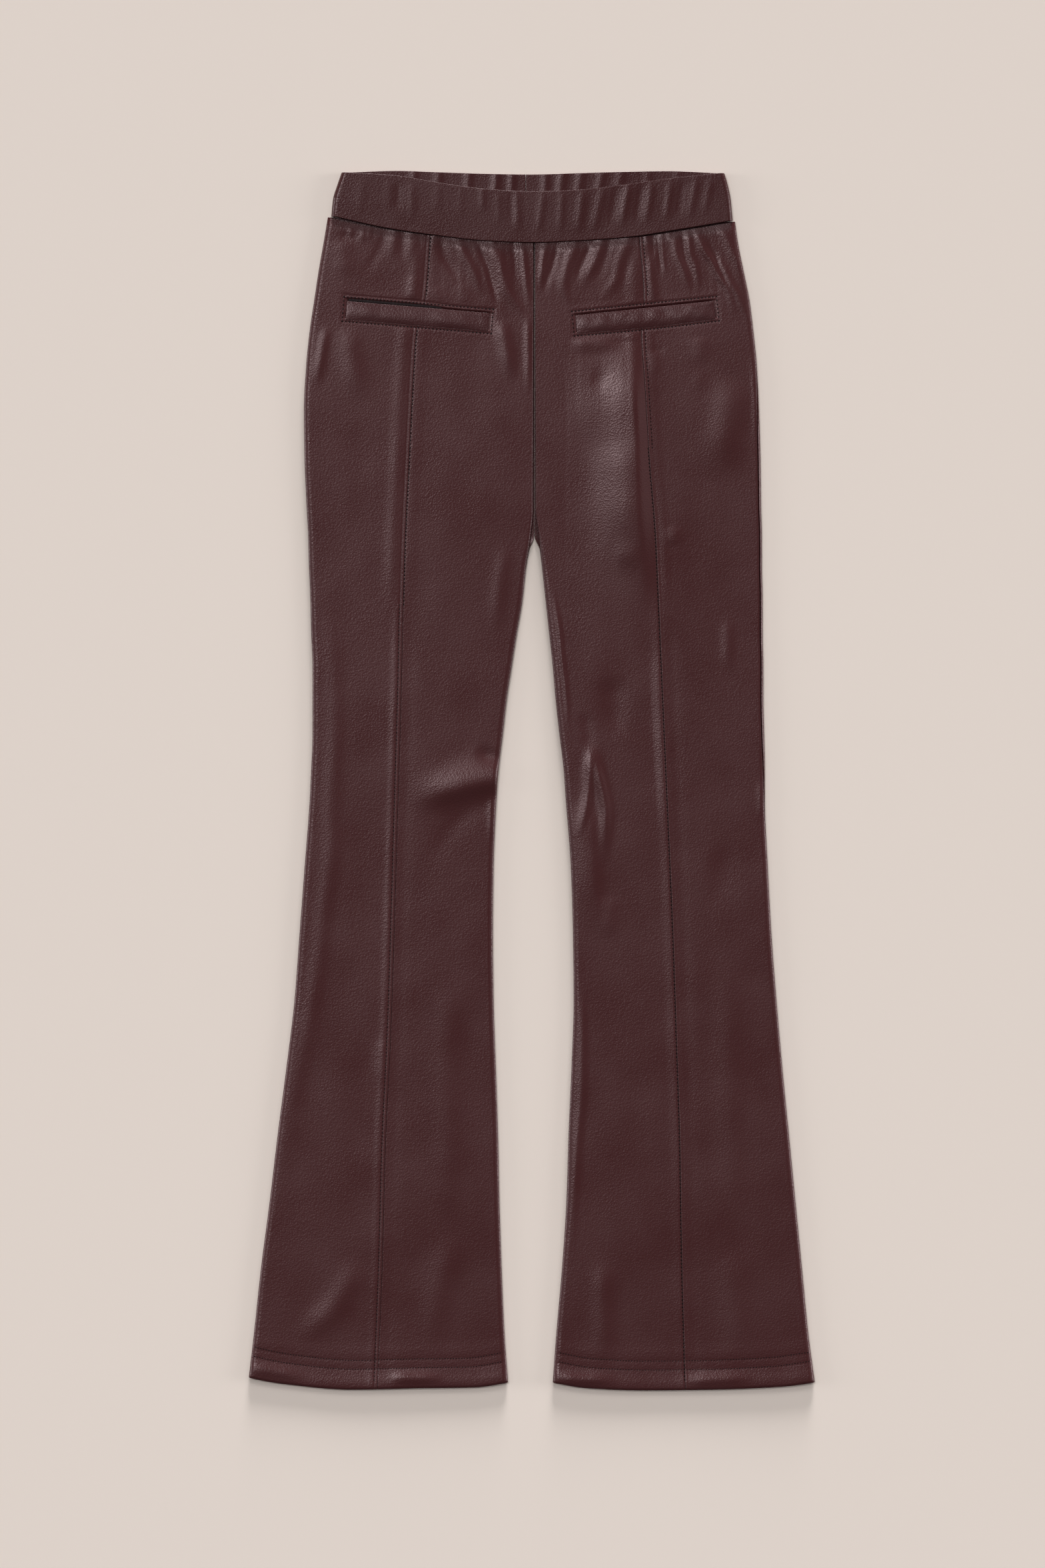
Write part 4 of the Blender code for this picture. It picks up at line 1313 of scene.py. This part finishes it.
def stitch_tree():
    tree = bpy.data.node_groups.new("stitch_rows", "GeometryNodeTree")
    face = tree.interface
    face.new_socket("Geometry", in_out="INPUT", socket_type="NodeSocketGeometry")
    for title in ("Pitch", "Length", "Width", "Height"):
        face.new_socket(title, in_out="INPUT", socket_type="NodeSocketFloat")
    face.new_socket("Seed", in_out="INPUT", socket_type="NodeSocketInt")
    face.new_socket("Material", in_out="INPUT", socket_type="NodeSocketMaterial")
    face.new_socket("Geometry", in_out="OUTPUT", socket_type="NodeSocketGeometry")

    def node(kind, **settings):
        made = tree.nodes.new(kind)
        for key, value in settings.items():
            setattr(made, key, value)
        return made

    def link(start, end):
        tree.links.new(start, end)

    given = node("NodeGroupInput").outputs
    line = node("GeometryNodeMeshToCurve")
    cut = node("GeometryNodeResampleCurve", mode="LENGTH")
    points = node("GeometryNodeCurveToPoints", mode="EVALUATED")
    turn = node("FunctionNodeAlignRotationToVector", axis="X", pivot_axis="AUTO")
    bead = node("GeometryNodeMeshUVSphere")
    bead.inputs["Segments"].default_value = STITCH_SIDES
    bead.inputs["Rings"].default_value = STITCH_RINGS
    bead.inputs["Radius"].default_value = BEAD_RADIUS
    size = node("ShaderNodeCombineXYZ")
    uneven = node("FunctionNodeRandomValue", data_type="FLOAT")
    uneven.inputs[2].default_value, uneven.inputs[3].default_value = STITCH_SIZES
    scaled = node("ShaderNodeVectorMath", operation="SCALE")
    rows = node("GeometryNodeInstanceOnPoints")
    real = node("GeometryNodeRealizeInstances")
    smooth = node("GeometryNodeSetShadeSmooth")
    finish = node("GeometryNodeSetMaterial")
    done = node("NodeGroupOutput")

    link(given["Geometry"], line.inputs["Mesh"])
    link(line.outputs["Curve"], cut.inputs["Curve"])
    link(given["Pitch"], cut.inputs["Length"])
    link(cut.outputs["Curve"], points.inputs["Curve"])
    link(points.outputs["Tangent"], turn.inputs["Vector"])
    link(given["Length"], size.inputs["X"])
    link(given["Width"], size.inputs["Y"])
    link(given["Height"], size.inputs["Z"])
    link(size.outputs["Vector"], scaled.inputs[0])
    link(given["Seed"], uneven.inputs["Seed"])
    link(uneven.outputs[1], scaled.inputs["Scale"])
    link(points.outputs["Points"], rows.inputs["Points"])
    link(bead.outputs["Mesh"], rows.inputs["Instance"])
    link(turn.outputs["Rotation"], rows.inputs["Rotation"])
    link(scaled.outputs["Vector"], rows.inputs["Scale"])
    link(rows.outputs["Instances"], real.inputs["Geometry"])
    link(real.outputs["Geometry"], smooth.inputs["Geometry"])
    link(smooth.outputs["Geometry"], finish.inputs["Geometry"])
    link(given["Material"], finish.inputs["Material"])
    link(finish.outputs["Geometry"], done.inputs["Geometry"])
    return tree


STITCH_TREE = stitch_tree()
print("stitch tree:", len(STITCH_TREE.nodes), "nodes")

# %% [markdown]
# ## Finishes
#
# The cloth is a knit coated with a soft plastic skin. The skin is satin, not glossy, and it
# is embossed with a fine pebble grain a little over a millimetre wide. A scanned texture would
# show its repeats over two legs, so the finish is worked out instead. Colour comes from the
# shader's base colour with a faint mottle. The grain is a Voronoi texture for the pebbles and
# a noise for the fine wrinkles between them, both read from Object coordinates, and they only
# bend the surface's normal, because the real relief is a few hundredths of a millimetre.

# %% Leather
LEATHER_SHADES = {
    "leg_leather": (0.0540, 0.0140, 0.0145, 1.0),
    "band_leather": (0.0430, 0.0100, 0.0102, 1.0),
    "welt_leather": (0.0460, 0.0122, 0.0130, 1.0),
    # The facing's near-black colour is painted shade: it stands for the shadow deep inside the
    # pocket's mouth.
    "facing_leather": (0.0060, 0.0027, 0.0028, 1.0),
}
# Roughness of the leather, and of the facing deep in its pocket.
SATIN = 0.28
DULL = 0.8
SHEEN_TINT = (1.0, 0.80, 0.82, 1.0)
SHEEN_LEVEL = 0.45
# Sizes of the patterns, in millimetres.
GRAIN_CELL = 1.25
WRINKLE_CELL = 0.55
WARP_CELL = 2.6
WARP_REACH = 0.9
MOTTLE_CELL = 42.0
# How much finer detail each pattern has, and how strong that is in the wrinkles.
WARP_DETAIL = 2.0
WRINKLE_DETAIL = 3.0
MOTTLE_DETAIL = 4.0
WRINKLE_ROUGHNESS = 0.6
GRAIN_DEPTH = 0.17
GRAIN_STRENGTH = 0.36
WRINKLE_SHARE = 0.55
# How far the mottle changes the shade and the roughness, and the values of its noise between
# which the roughness changes.
MOTTLE_SHARE = 0.04
MOTTLE_GLOSS = 0.05
MOTTLE_RANGE = (0.3, 0.7)


def scaled(shade, share):
    return [c * share for c in shade[:3]] + [1.0]


def leather(name, shade, roughness):
    material = bpy.data.materials.new(name)
    material.use_nodes = True
    nodes = material.node_tree.nodes
    surface = nodes["Principled BSDF"]
    surface.inputs["Specular IOR Level"].default_value = SHEEN_LEVEL
    surface.inputs["Specular Tint"].default_value = SHEEN_TINT

    def node(kind, **inputs):
        made = nodes.new(kind)
        for key, value in inputs.items():
            made.inputs[key.replace("_", " ")].default_value = value
        return made

    def link(start, end):
        material.node_tree.links.new(start, end)

    where = node("ShaderNodeTexCoord")
    warp = node("ShaderNodeTexNoise", Scale=1 / (WARP_CELL * MM), Detail=WARP_DETAIL)
    shift = nodes.new("ShaderNodeVectorMath")
    shift.operation = "MULTIPLY_ADD"
    shift.inputs[1].default_value = [WARP_REACH * MM] * 3
    pebbles = node("ShaderNodeTexVoronoi", Scale=1 / (GRAIN_CELL * MM), Randomness=1.0)
    wrinkles = node(
        "ShaderNodeTexNoise", Scale=1 / (WRINKLE_CELL * MM), Detail=WRINKLE_DETAIL,
        Roughness=WRINKLE_ROUGHNESS,
    )
    relief = nodes.new("ShaderNodeMath")
    relief.operation = "MULTIPLY_ADD"
    relief.inputs[1].default_value = WRINKLE_SHARE
    grain = node("ShaderNodeBump", Strength=GRAIN_STRENGTH, Distance=GRAIN_DEPTH * MM)
    mottle = node("ShaderNodeTexNoise", Scale=1 / (MOTTLE_CELL * MM), Detail=MOTTLE_DETAIL)
    tint = nodes.new("ShaderNodeMix")
    tint.data_type = "RGBA"
    tint.inputs["A"].default_value = scaled(shade, 1 - MOTTLE_SHARE)
    tint.inputs["B"].default_value = scaled(shade, 1 + MOTTLE_SHARE)
    gloss = node("ShaderNodeMapRange", From_Min=MOTTLE_RANGE[0], From_Max=MOTTLE_RANGE[1])
    gloss.inputs["To Min"].default_value = roughness - MOTTLE_GLOSS
    gloss.inputs["To Max"].default_value = roughness + MOTTLE_GLOSS

    link(where.outputs["Object"], warp.inputs["Vector"])
    link(warp.outputs["Color"], shift.inputs[0])
    link(where.outputs["Object"], shift.inputs[2])
    link(shift.outputs["Vector"], pebbles.inputs["Vector"])
    link(where.outputs["Object"], wrinkles.inputs["Vector"])
    link(wrinkles.outputs["Fac"], relief.inputs[0])
    link(pebbles.outputs["Distance"], relief.inputs[2])
    link(relief.outputs["Value"], grain.inputs["Height"])
    link(grain.outputs["Normal"], surface.inputs["Normal"])
    link(where.outputs["Object"], mottle.inputs["Vector"])
    link(mottle.outputs["Fac"], tint.inputs["Factor"])
    link(tint.outputs["Result"], surface.inputs["Base Color"])
    link(mottle.outputs["Fac"], gloss.inputs["Value"])
    link(gloss.outputs["Result"], surface.inputs["Roughness"])
    return material


finishes = {
    name: leather(name, shade, DULL if name == "facing_leather" else SATIN)
    for name, shade in LEATHER_SHADES.items()
}
print("leathers:", ", ".join(finishes))

# %% Thread
# The thread is far darker than the cloth: partly a dark thread, partly painted shade for the shadow
# in which each stitch sinks into the skin.
THREAD_SHADE = (0.0110, 0.0045, 0.0048, 1.0)
THREAD_ROUGHNESS = 0.75
THREAD_SHEEN = 0.1
TWIST_CELL = 0.6
TWIST_SHARE = 0.2


def thread_finish():
    material = bpy.data.materials.new("stitching")
    material.use_nodes = True
    nodes = material.node_tree.nodes
    links = material.node_tree.links
    yarn = nodes["Principled BSDF"]
    yarn.inputs["Roughness"].default_value = THREAD_ROUGHNESS
    yarn.inputs["Specular IOR Level"].default_value = THREAD_SHEEN
    twist = nodes.new("ShaderNodeTexNoise")
    twist.inputs["Scale"].default_value = 1 / (TWIST_CELL * MM)
    tint = nodes.new("ShaderNodeMix")
    tint.data_type = "RGBA"
    tint.inputs["A"].default_value = scaled(THREAD_SHADE, 1 - TWIST_SHARE)
    tint.inputs["B"].default_value = scaled(THREAD_SHADE, 1 + TWIST_SHARE)
    where = nodes.new("ShaderNodeTexCoord")
    links.new(where.outputs["Object"], twist.inputs["Vector"])
    links.new(twist.outputs["Fac"], tint.inputs["Factor"])
    links.new(tint.outputs["Result"], yarn.inputs["Base Color"])
    return material


thread = thread_finish()
print("thread:", thread.name)

# %% [markdown]
# ## Sewing the rows
#
# Each row is a chain of points on the cloth. A row drawn flat could be shrink-wrapped onto the
# panels, but its height can as well come from the same function that shaped the cloth, so it
# follows every crease it crosses. The pockets have a rectangle of stitches round the opening,
# each front seam one row beside its strip, and each hem two.

# %% Helpers that sew
THREAD_HEIGHT = 0.36
# How far a row stands above the cloth.
ROW_LIFT = 0.05


def sew(name, rows, pitch, length, width):
    """Sets stitches along rows of points in metres, as one plain mesh."""
    points = []
    edges = []
    for row in rows:
        first = len(points)
        points.extend(row)
        edges.extend((first + i, first + i + 1) for i in range(len(row) - 1))
    mesh = bpy.data.meshes.new(name)
    mesh.from_pydata([tuple(p) for p in points], edges, [])
    piece = bpy.data.objects.new(name, mesh)
    bpy.context.scene.collection.objects.link(piece)
    stitches = piece.modifiers.new("stitches", "NODES")
    stitches.node_group = STITCH_TREE
    sizes = {
        "Pitch": pitch * MM, "Length": length * MM, "Width": width * MM,
        "Height": THREAD_HEIGHT * MM, "Seed": STITCH_SEED, "Material": thread,
    }
    for socket in STITCH_TREE.interface.items_tree:
        if socket.in_out == "INPUT" and socket.name in sizes:
            stitches[socket.identifier] = sizes[socket.name]
    return plain_mesh(piece)


def on_front(x, drop, which):
    """Points of a row on a front, a little proud of the cloth."""
    x, drop = np.broadcast_arrays(np.asarray(x, float), np.asarray(drop, float))
    side = outline(drop, which + "_side")
    inner = outline(drop, which + "_inner")
    hem = through((x - side) / (inner - side), HEM_EDGE, own_column(which))
    return place(x, drop, front_height(x, drop, hem) + ROW_LIFT)


stitching = {}
print("rows lie", ROW_LIFT, "mm above the cloth")

# %% Rectangles round the pockets
# Pitch of the stitches, then the length and width of one.
POCKET_STITCH = (2.5, 1.5, 1.0)
POCKET_ROW_POINTS = 80


def pocket_frame(which):
    """The four rows round a pocket's opening, each from corner to corner."""
    top = -FRAME_REACH - MOUTH[which][1]
    low = WELT_DEPTH + FRAME_REACH
    near, far = -FRAME_REACH, welt_frame(which)[0] + FRAME_REACH
    corners = ((near, top), (far, top), (far, low), (near, low), (near, top))
    rows = []
    for (start, above), (end, below) in zip(corners, corners[1:]):
        share = np.linspace(0, 1, POCKET_ROW_POINTS)
        along = start + (end - start) * share
        under = above + (below - above) * share
        if above == below == low:
            under = under + bowed(share, which)
        x, drop = from_welt(along, under, which)
        rows.append(on_front(x, drop, which))
    return rows


pocket_rows = pocket_frame("left") + pocket_frame("right")
stitching["pocket_stitching"] = sew("pocket_stitching", pocket_rows, *POCKET_STITCH)
print("pocket stitching", len(stitching["pocket_stitching"].data.polygons), "faces")

# %% Rows beside the front seams
SEAM_STITCH = (2.5, 1.5, 0.7)
SEAM_ROW_STEP = 1.2
SEAM_ROW_OFF = 1.5
# Each row's first and last drop, and the side of its strip that it lies on, as seen.
SEAM_ROWS = {
    "left": ((47, 86, 1), (111, 300, 1), (300, 835, -1)),
    "right": ((47, 86, 1), (112, 192, 1), (192, 835, -1)),
}


def seam_rows(which):
    rows = []
    for start, end, side in SEAM_ROWS[which]:
        drop = np.arange(start, end, SEAM_ROW_STEP)
        rows.append(on_front(strip_x(drop, which) + side * SEAM_ROW_OFF, drop, which))
    return rows


stitching["seam_stitching"] = sew(
    "seam_stitching", seam_rows("left") + seam_rows("right"), *SEAM_STITCH
)
print("seam stitching", len(stitching["seam_stitching"].data.polygons), "faces")

# %% Twin rows of the hems
HEM_STITCH = (1.9, 1.1, 0.65)
HEM_ROW_POINTS = 150
# Shares of the way across the leg where a row starts and ends, between points this far in.
HEM_ROW_ENDS = (0.004, 0.985)
HEM_ROW_INSET = 1.5
# The rows on the back stop this many points short of the folds, and lie this far up.
UNDER_ROW_STOPS = 8
UNDER_ROW_UP = 0.02


def hem_rows(which):
    """Two rows round the hem, on the front above and on the back below."""
    rows = []
    share = np.linspace(*HEM_ROW_ENDS, HEM_ROW_POINTS)
    hem = through(share, HEM_EDGE, own_column(which))
    for from_edge in (UPPER_HEM_ROW, LOWER_HEM_ROW):
        drop = hem - from_edge
        side = outline(drop, which + "_side") + inward(which) * HEM_ROW_INSET
        inner = outline(drop, which + "_inner") - inward(which) * HEM_ROW_INSET
        x = side + (inner - side) * share
        rows.append(on_front(x, drop, which))
        rows.append(place(x, drop, UNDER_ROW_UP)[UNDER_ROW_STOPS:-UNDER_ROW_STOPS])
    return rows


stitching["hem_stitching"] = sew(
    "hem_stitching", hem_rows("left") + hem_rows("right"), *HEM_STITCH
)
print("hem stitching", len(stitching["hem_stitching"].data.polygons), "faces")

# %% [markdown]
# ## Putting the pieces in the model
#
# Every piece takes the finish of its material slot, rides on the model's one body and stands
# for its imported piece. Parenting the pieces by hand would do for a picture; these calls
# parent each one to the empty that stands for the body. A table lists how large each sheet of
# cloth was when it was cut, but nothing here stores that on the piece.

# %% Finish, ride and replace
SLOTS = {
    "waistband": "band_leather",
    "pocket_facing_left": "facing_leather",
    "welt_left": "welt_leather",
    "welt_right": "welt_leather",
}

for name, piece in cloth.items():
    slot = SLOTS.get(name, "leg_leather")
    piece.data.materials.clear()
    piece.data.materials.append(finishes[slot])
    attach(piece, "root")
    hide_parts(name)
for piece in stitching.values():
    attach(piece, "root")
print("pieces in the model:", len(cloth) + len(stitching))

# %% Cut sizes of the sheets
# Width and length in mm, and the share of that rectangle that is cloth.
CUTS = {
    "waistband": (570, 36, 0.98),
    "front_side_left": (92, 832, 0.86),
    "front_side_right": (92, 832, 0.86),
    "front_centre_left": (98, 830, 0.86),
    "front_centre_right": (98, 830, 0.86),
    "back_left": (188, 838, 0.86),
    "back_right": (188, 838, 0.86),
    "welt_left": (103, 15, 0.95),
    "welt_right": (100, 15, 0.95),
}

for name, (width, length, share) in CUTS.items():
    piece = cloth[name]

# %% [markdown]
# ## Floor
#
# A flat lay is photographed on a plain board. A shadow catcher would show the shadows alone,
# but the board also colours them, so it is a real surface in a warm off-white, large enough to
# fill the view, a hair below the garment.

# %% Floor
FLOOR_SHADE = (0.860, 0.760, 0.695, 1.0)
FLOOR_ROUGHNESS = 0.9
FLOOR_SHEEN = 0.2
FLOOR_HALF = 4.0
FLOOR_BELOW = 0.0002


def floor():
    mesh = bpy.data.meshes.new("floor")
    corners = ((-1, -1), (1, -1), (1, 1), (-1, 1))
    points = [(x * FLOOR_HALF, y * FLOOR_HALF, -FLOOR_BELOW) for x, y in corners]
    mesh.from_pydata(points, [], [(0, 1, 2, 3)])
    board = bpy.data.objects.new("floor", mesh)
    bpy.context.scene.collection.objects.link(board)
    paint = bpy.data.materials.new("floor")
    paint.use_nodes = True
    surface = paint.node_tree.nodes["Principled BSDF"]
    surface.inputs["Base Color"].default_value = FLOOR_SHADE
    surface.inputs["Roughness"].default_value = FLOOR_ROUGHNESS
    surface.inputs["Specular IOR Level"].default_value = FLOOR_SHEEN
    mesh.materials.append(paint)


floor()
print("floor:", 2 * FLOOR_HALF, "m square")

# %% [markdown]
# ## Light
#
# The satin skin shows its form by what it mirrors. A key light stands almost overhead, a
# little to the upper left: a level surface mirrors the dark beside it and keeps its deep
# colour, and a slope of five to fifteen degrees toward it shows as a soft light line. Low
# lights beyond the waist and to both sides draw the shadows on the floor, and weak higher ones
# a thin rim on the edges. Area lights could do all this, but they fall off over the length of
# the garment, so these are suns, spread wide enough for soft edges. A weak even glow fills the
# shadows.

# %% Lights
LIGHTS = (
    # name, degrees from +y toward +x, degrees up from the floor, spread, strength
    ("beyond_waist_low", 5, 10, 17, 4.30),
    ("beyond_waist_high", 0, 46, 24, 0.50),
    ("left_low", -86, 13, 20, 0.75),
    ("right_low", 86, 14, 22, 0.98),
    ("left_high", -90, 46, 24, 0.15),
    ("right_high", 80, 52, 26, 0.11),
    ("key", -52, 71, 14, 0.66),
)
GLOW_SHADE = (1.0, 0.985, 0.97, 1.0)
GLOW = 0.10


def softbox(name, turn, height, spread, strength):
    """A large soft light, so far off that it lights the whole floor evenly."""
    lamp = bpy.data.lights.new(name, "SUN")
    lamp.angle = math.radians(spread)
    lamp.energy = strength
    holder = bpy.data.objects.new(name, lamp)
    holder.rotation_euler = (math.radians(90 - height), 0, math.radians(180 - turn))
    bpy.context.scene.collection.objects.link(holder)


for light in LIGHTS:
    softbox(*light)

world = bpy.data.worlds.new("studio")
world.use_nodes = True
sky = world.node_tree.nodes["Background"]
sky.inputs["Color"].default_value = GLOW_SHADE
sky.inputs["Strength"].default_value = GLOW
bpy.context.scene.world = world
bpy.context.scene.view_settings.view_transform = "Standard"
print("lights:", ", ".join(light[0] for light in LIGHTS))

# %% [markdown]
# ## Camera
#
# Seen from close by, one end of the garment would mirror other lights than its middle does,
# and its thickness would lean outward all round. A long lens from far above avoids both, so
# the height is worked out from the stretch of floor that the picture has to show.

# %% Camera
CAMERA_LENS = 240.0
CAMERA_OVER = (-0.0062, -0.0025)
FRAME_HEIGHT = 1.082

lens = bpy.data.cameras.new("camera")
lens.lens = CAMERA_LENS
camera = bpy.data.objects.new("camera", lens)
height = FRAME_HEIGHT * CAMERA_LENS / lens.sensor_width
camera.location = (CAMERA_OVER[0], CAMERA_OVER[1], height)
bpy.context.scene.collection.objects.link(camera)
bpy.context.scene.camera = camera
print("camera height:", round(height, 3), "m")
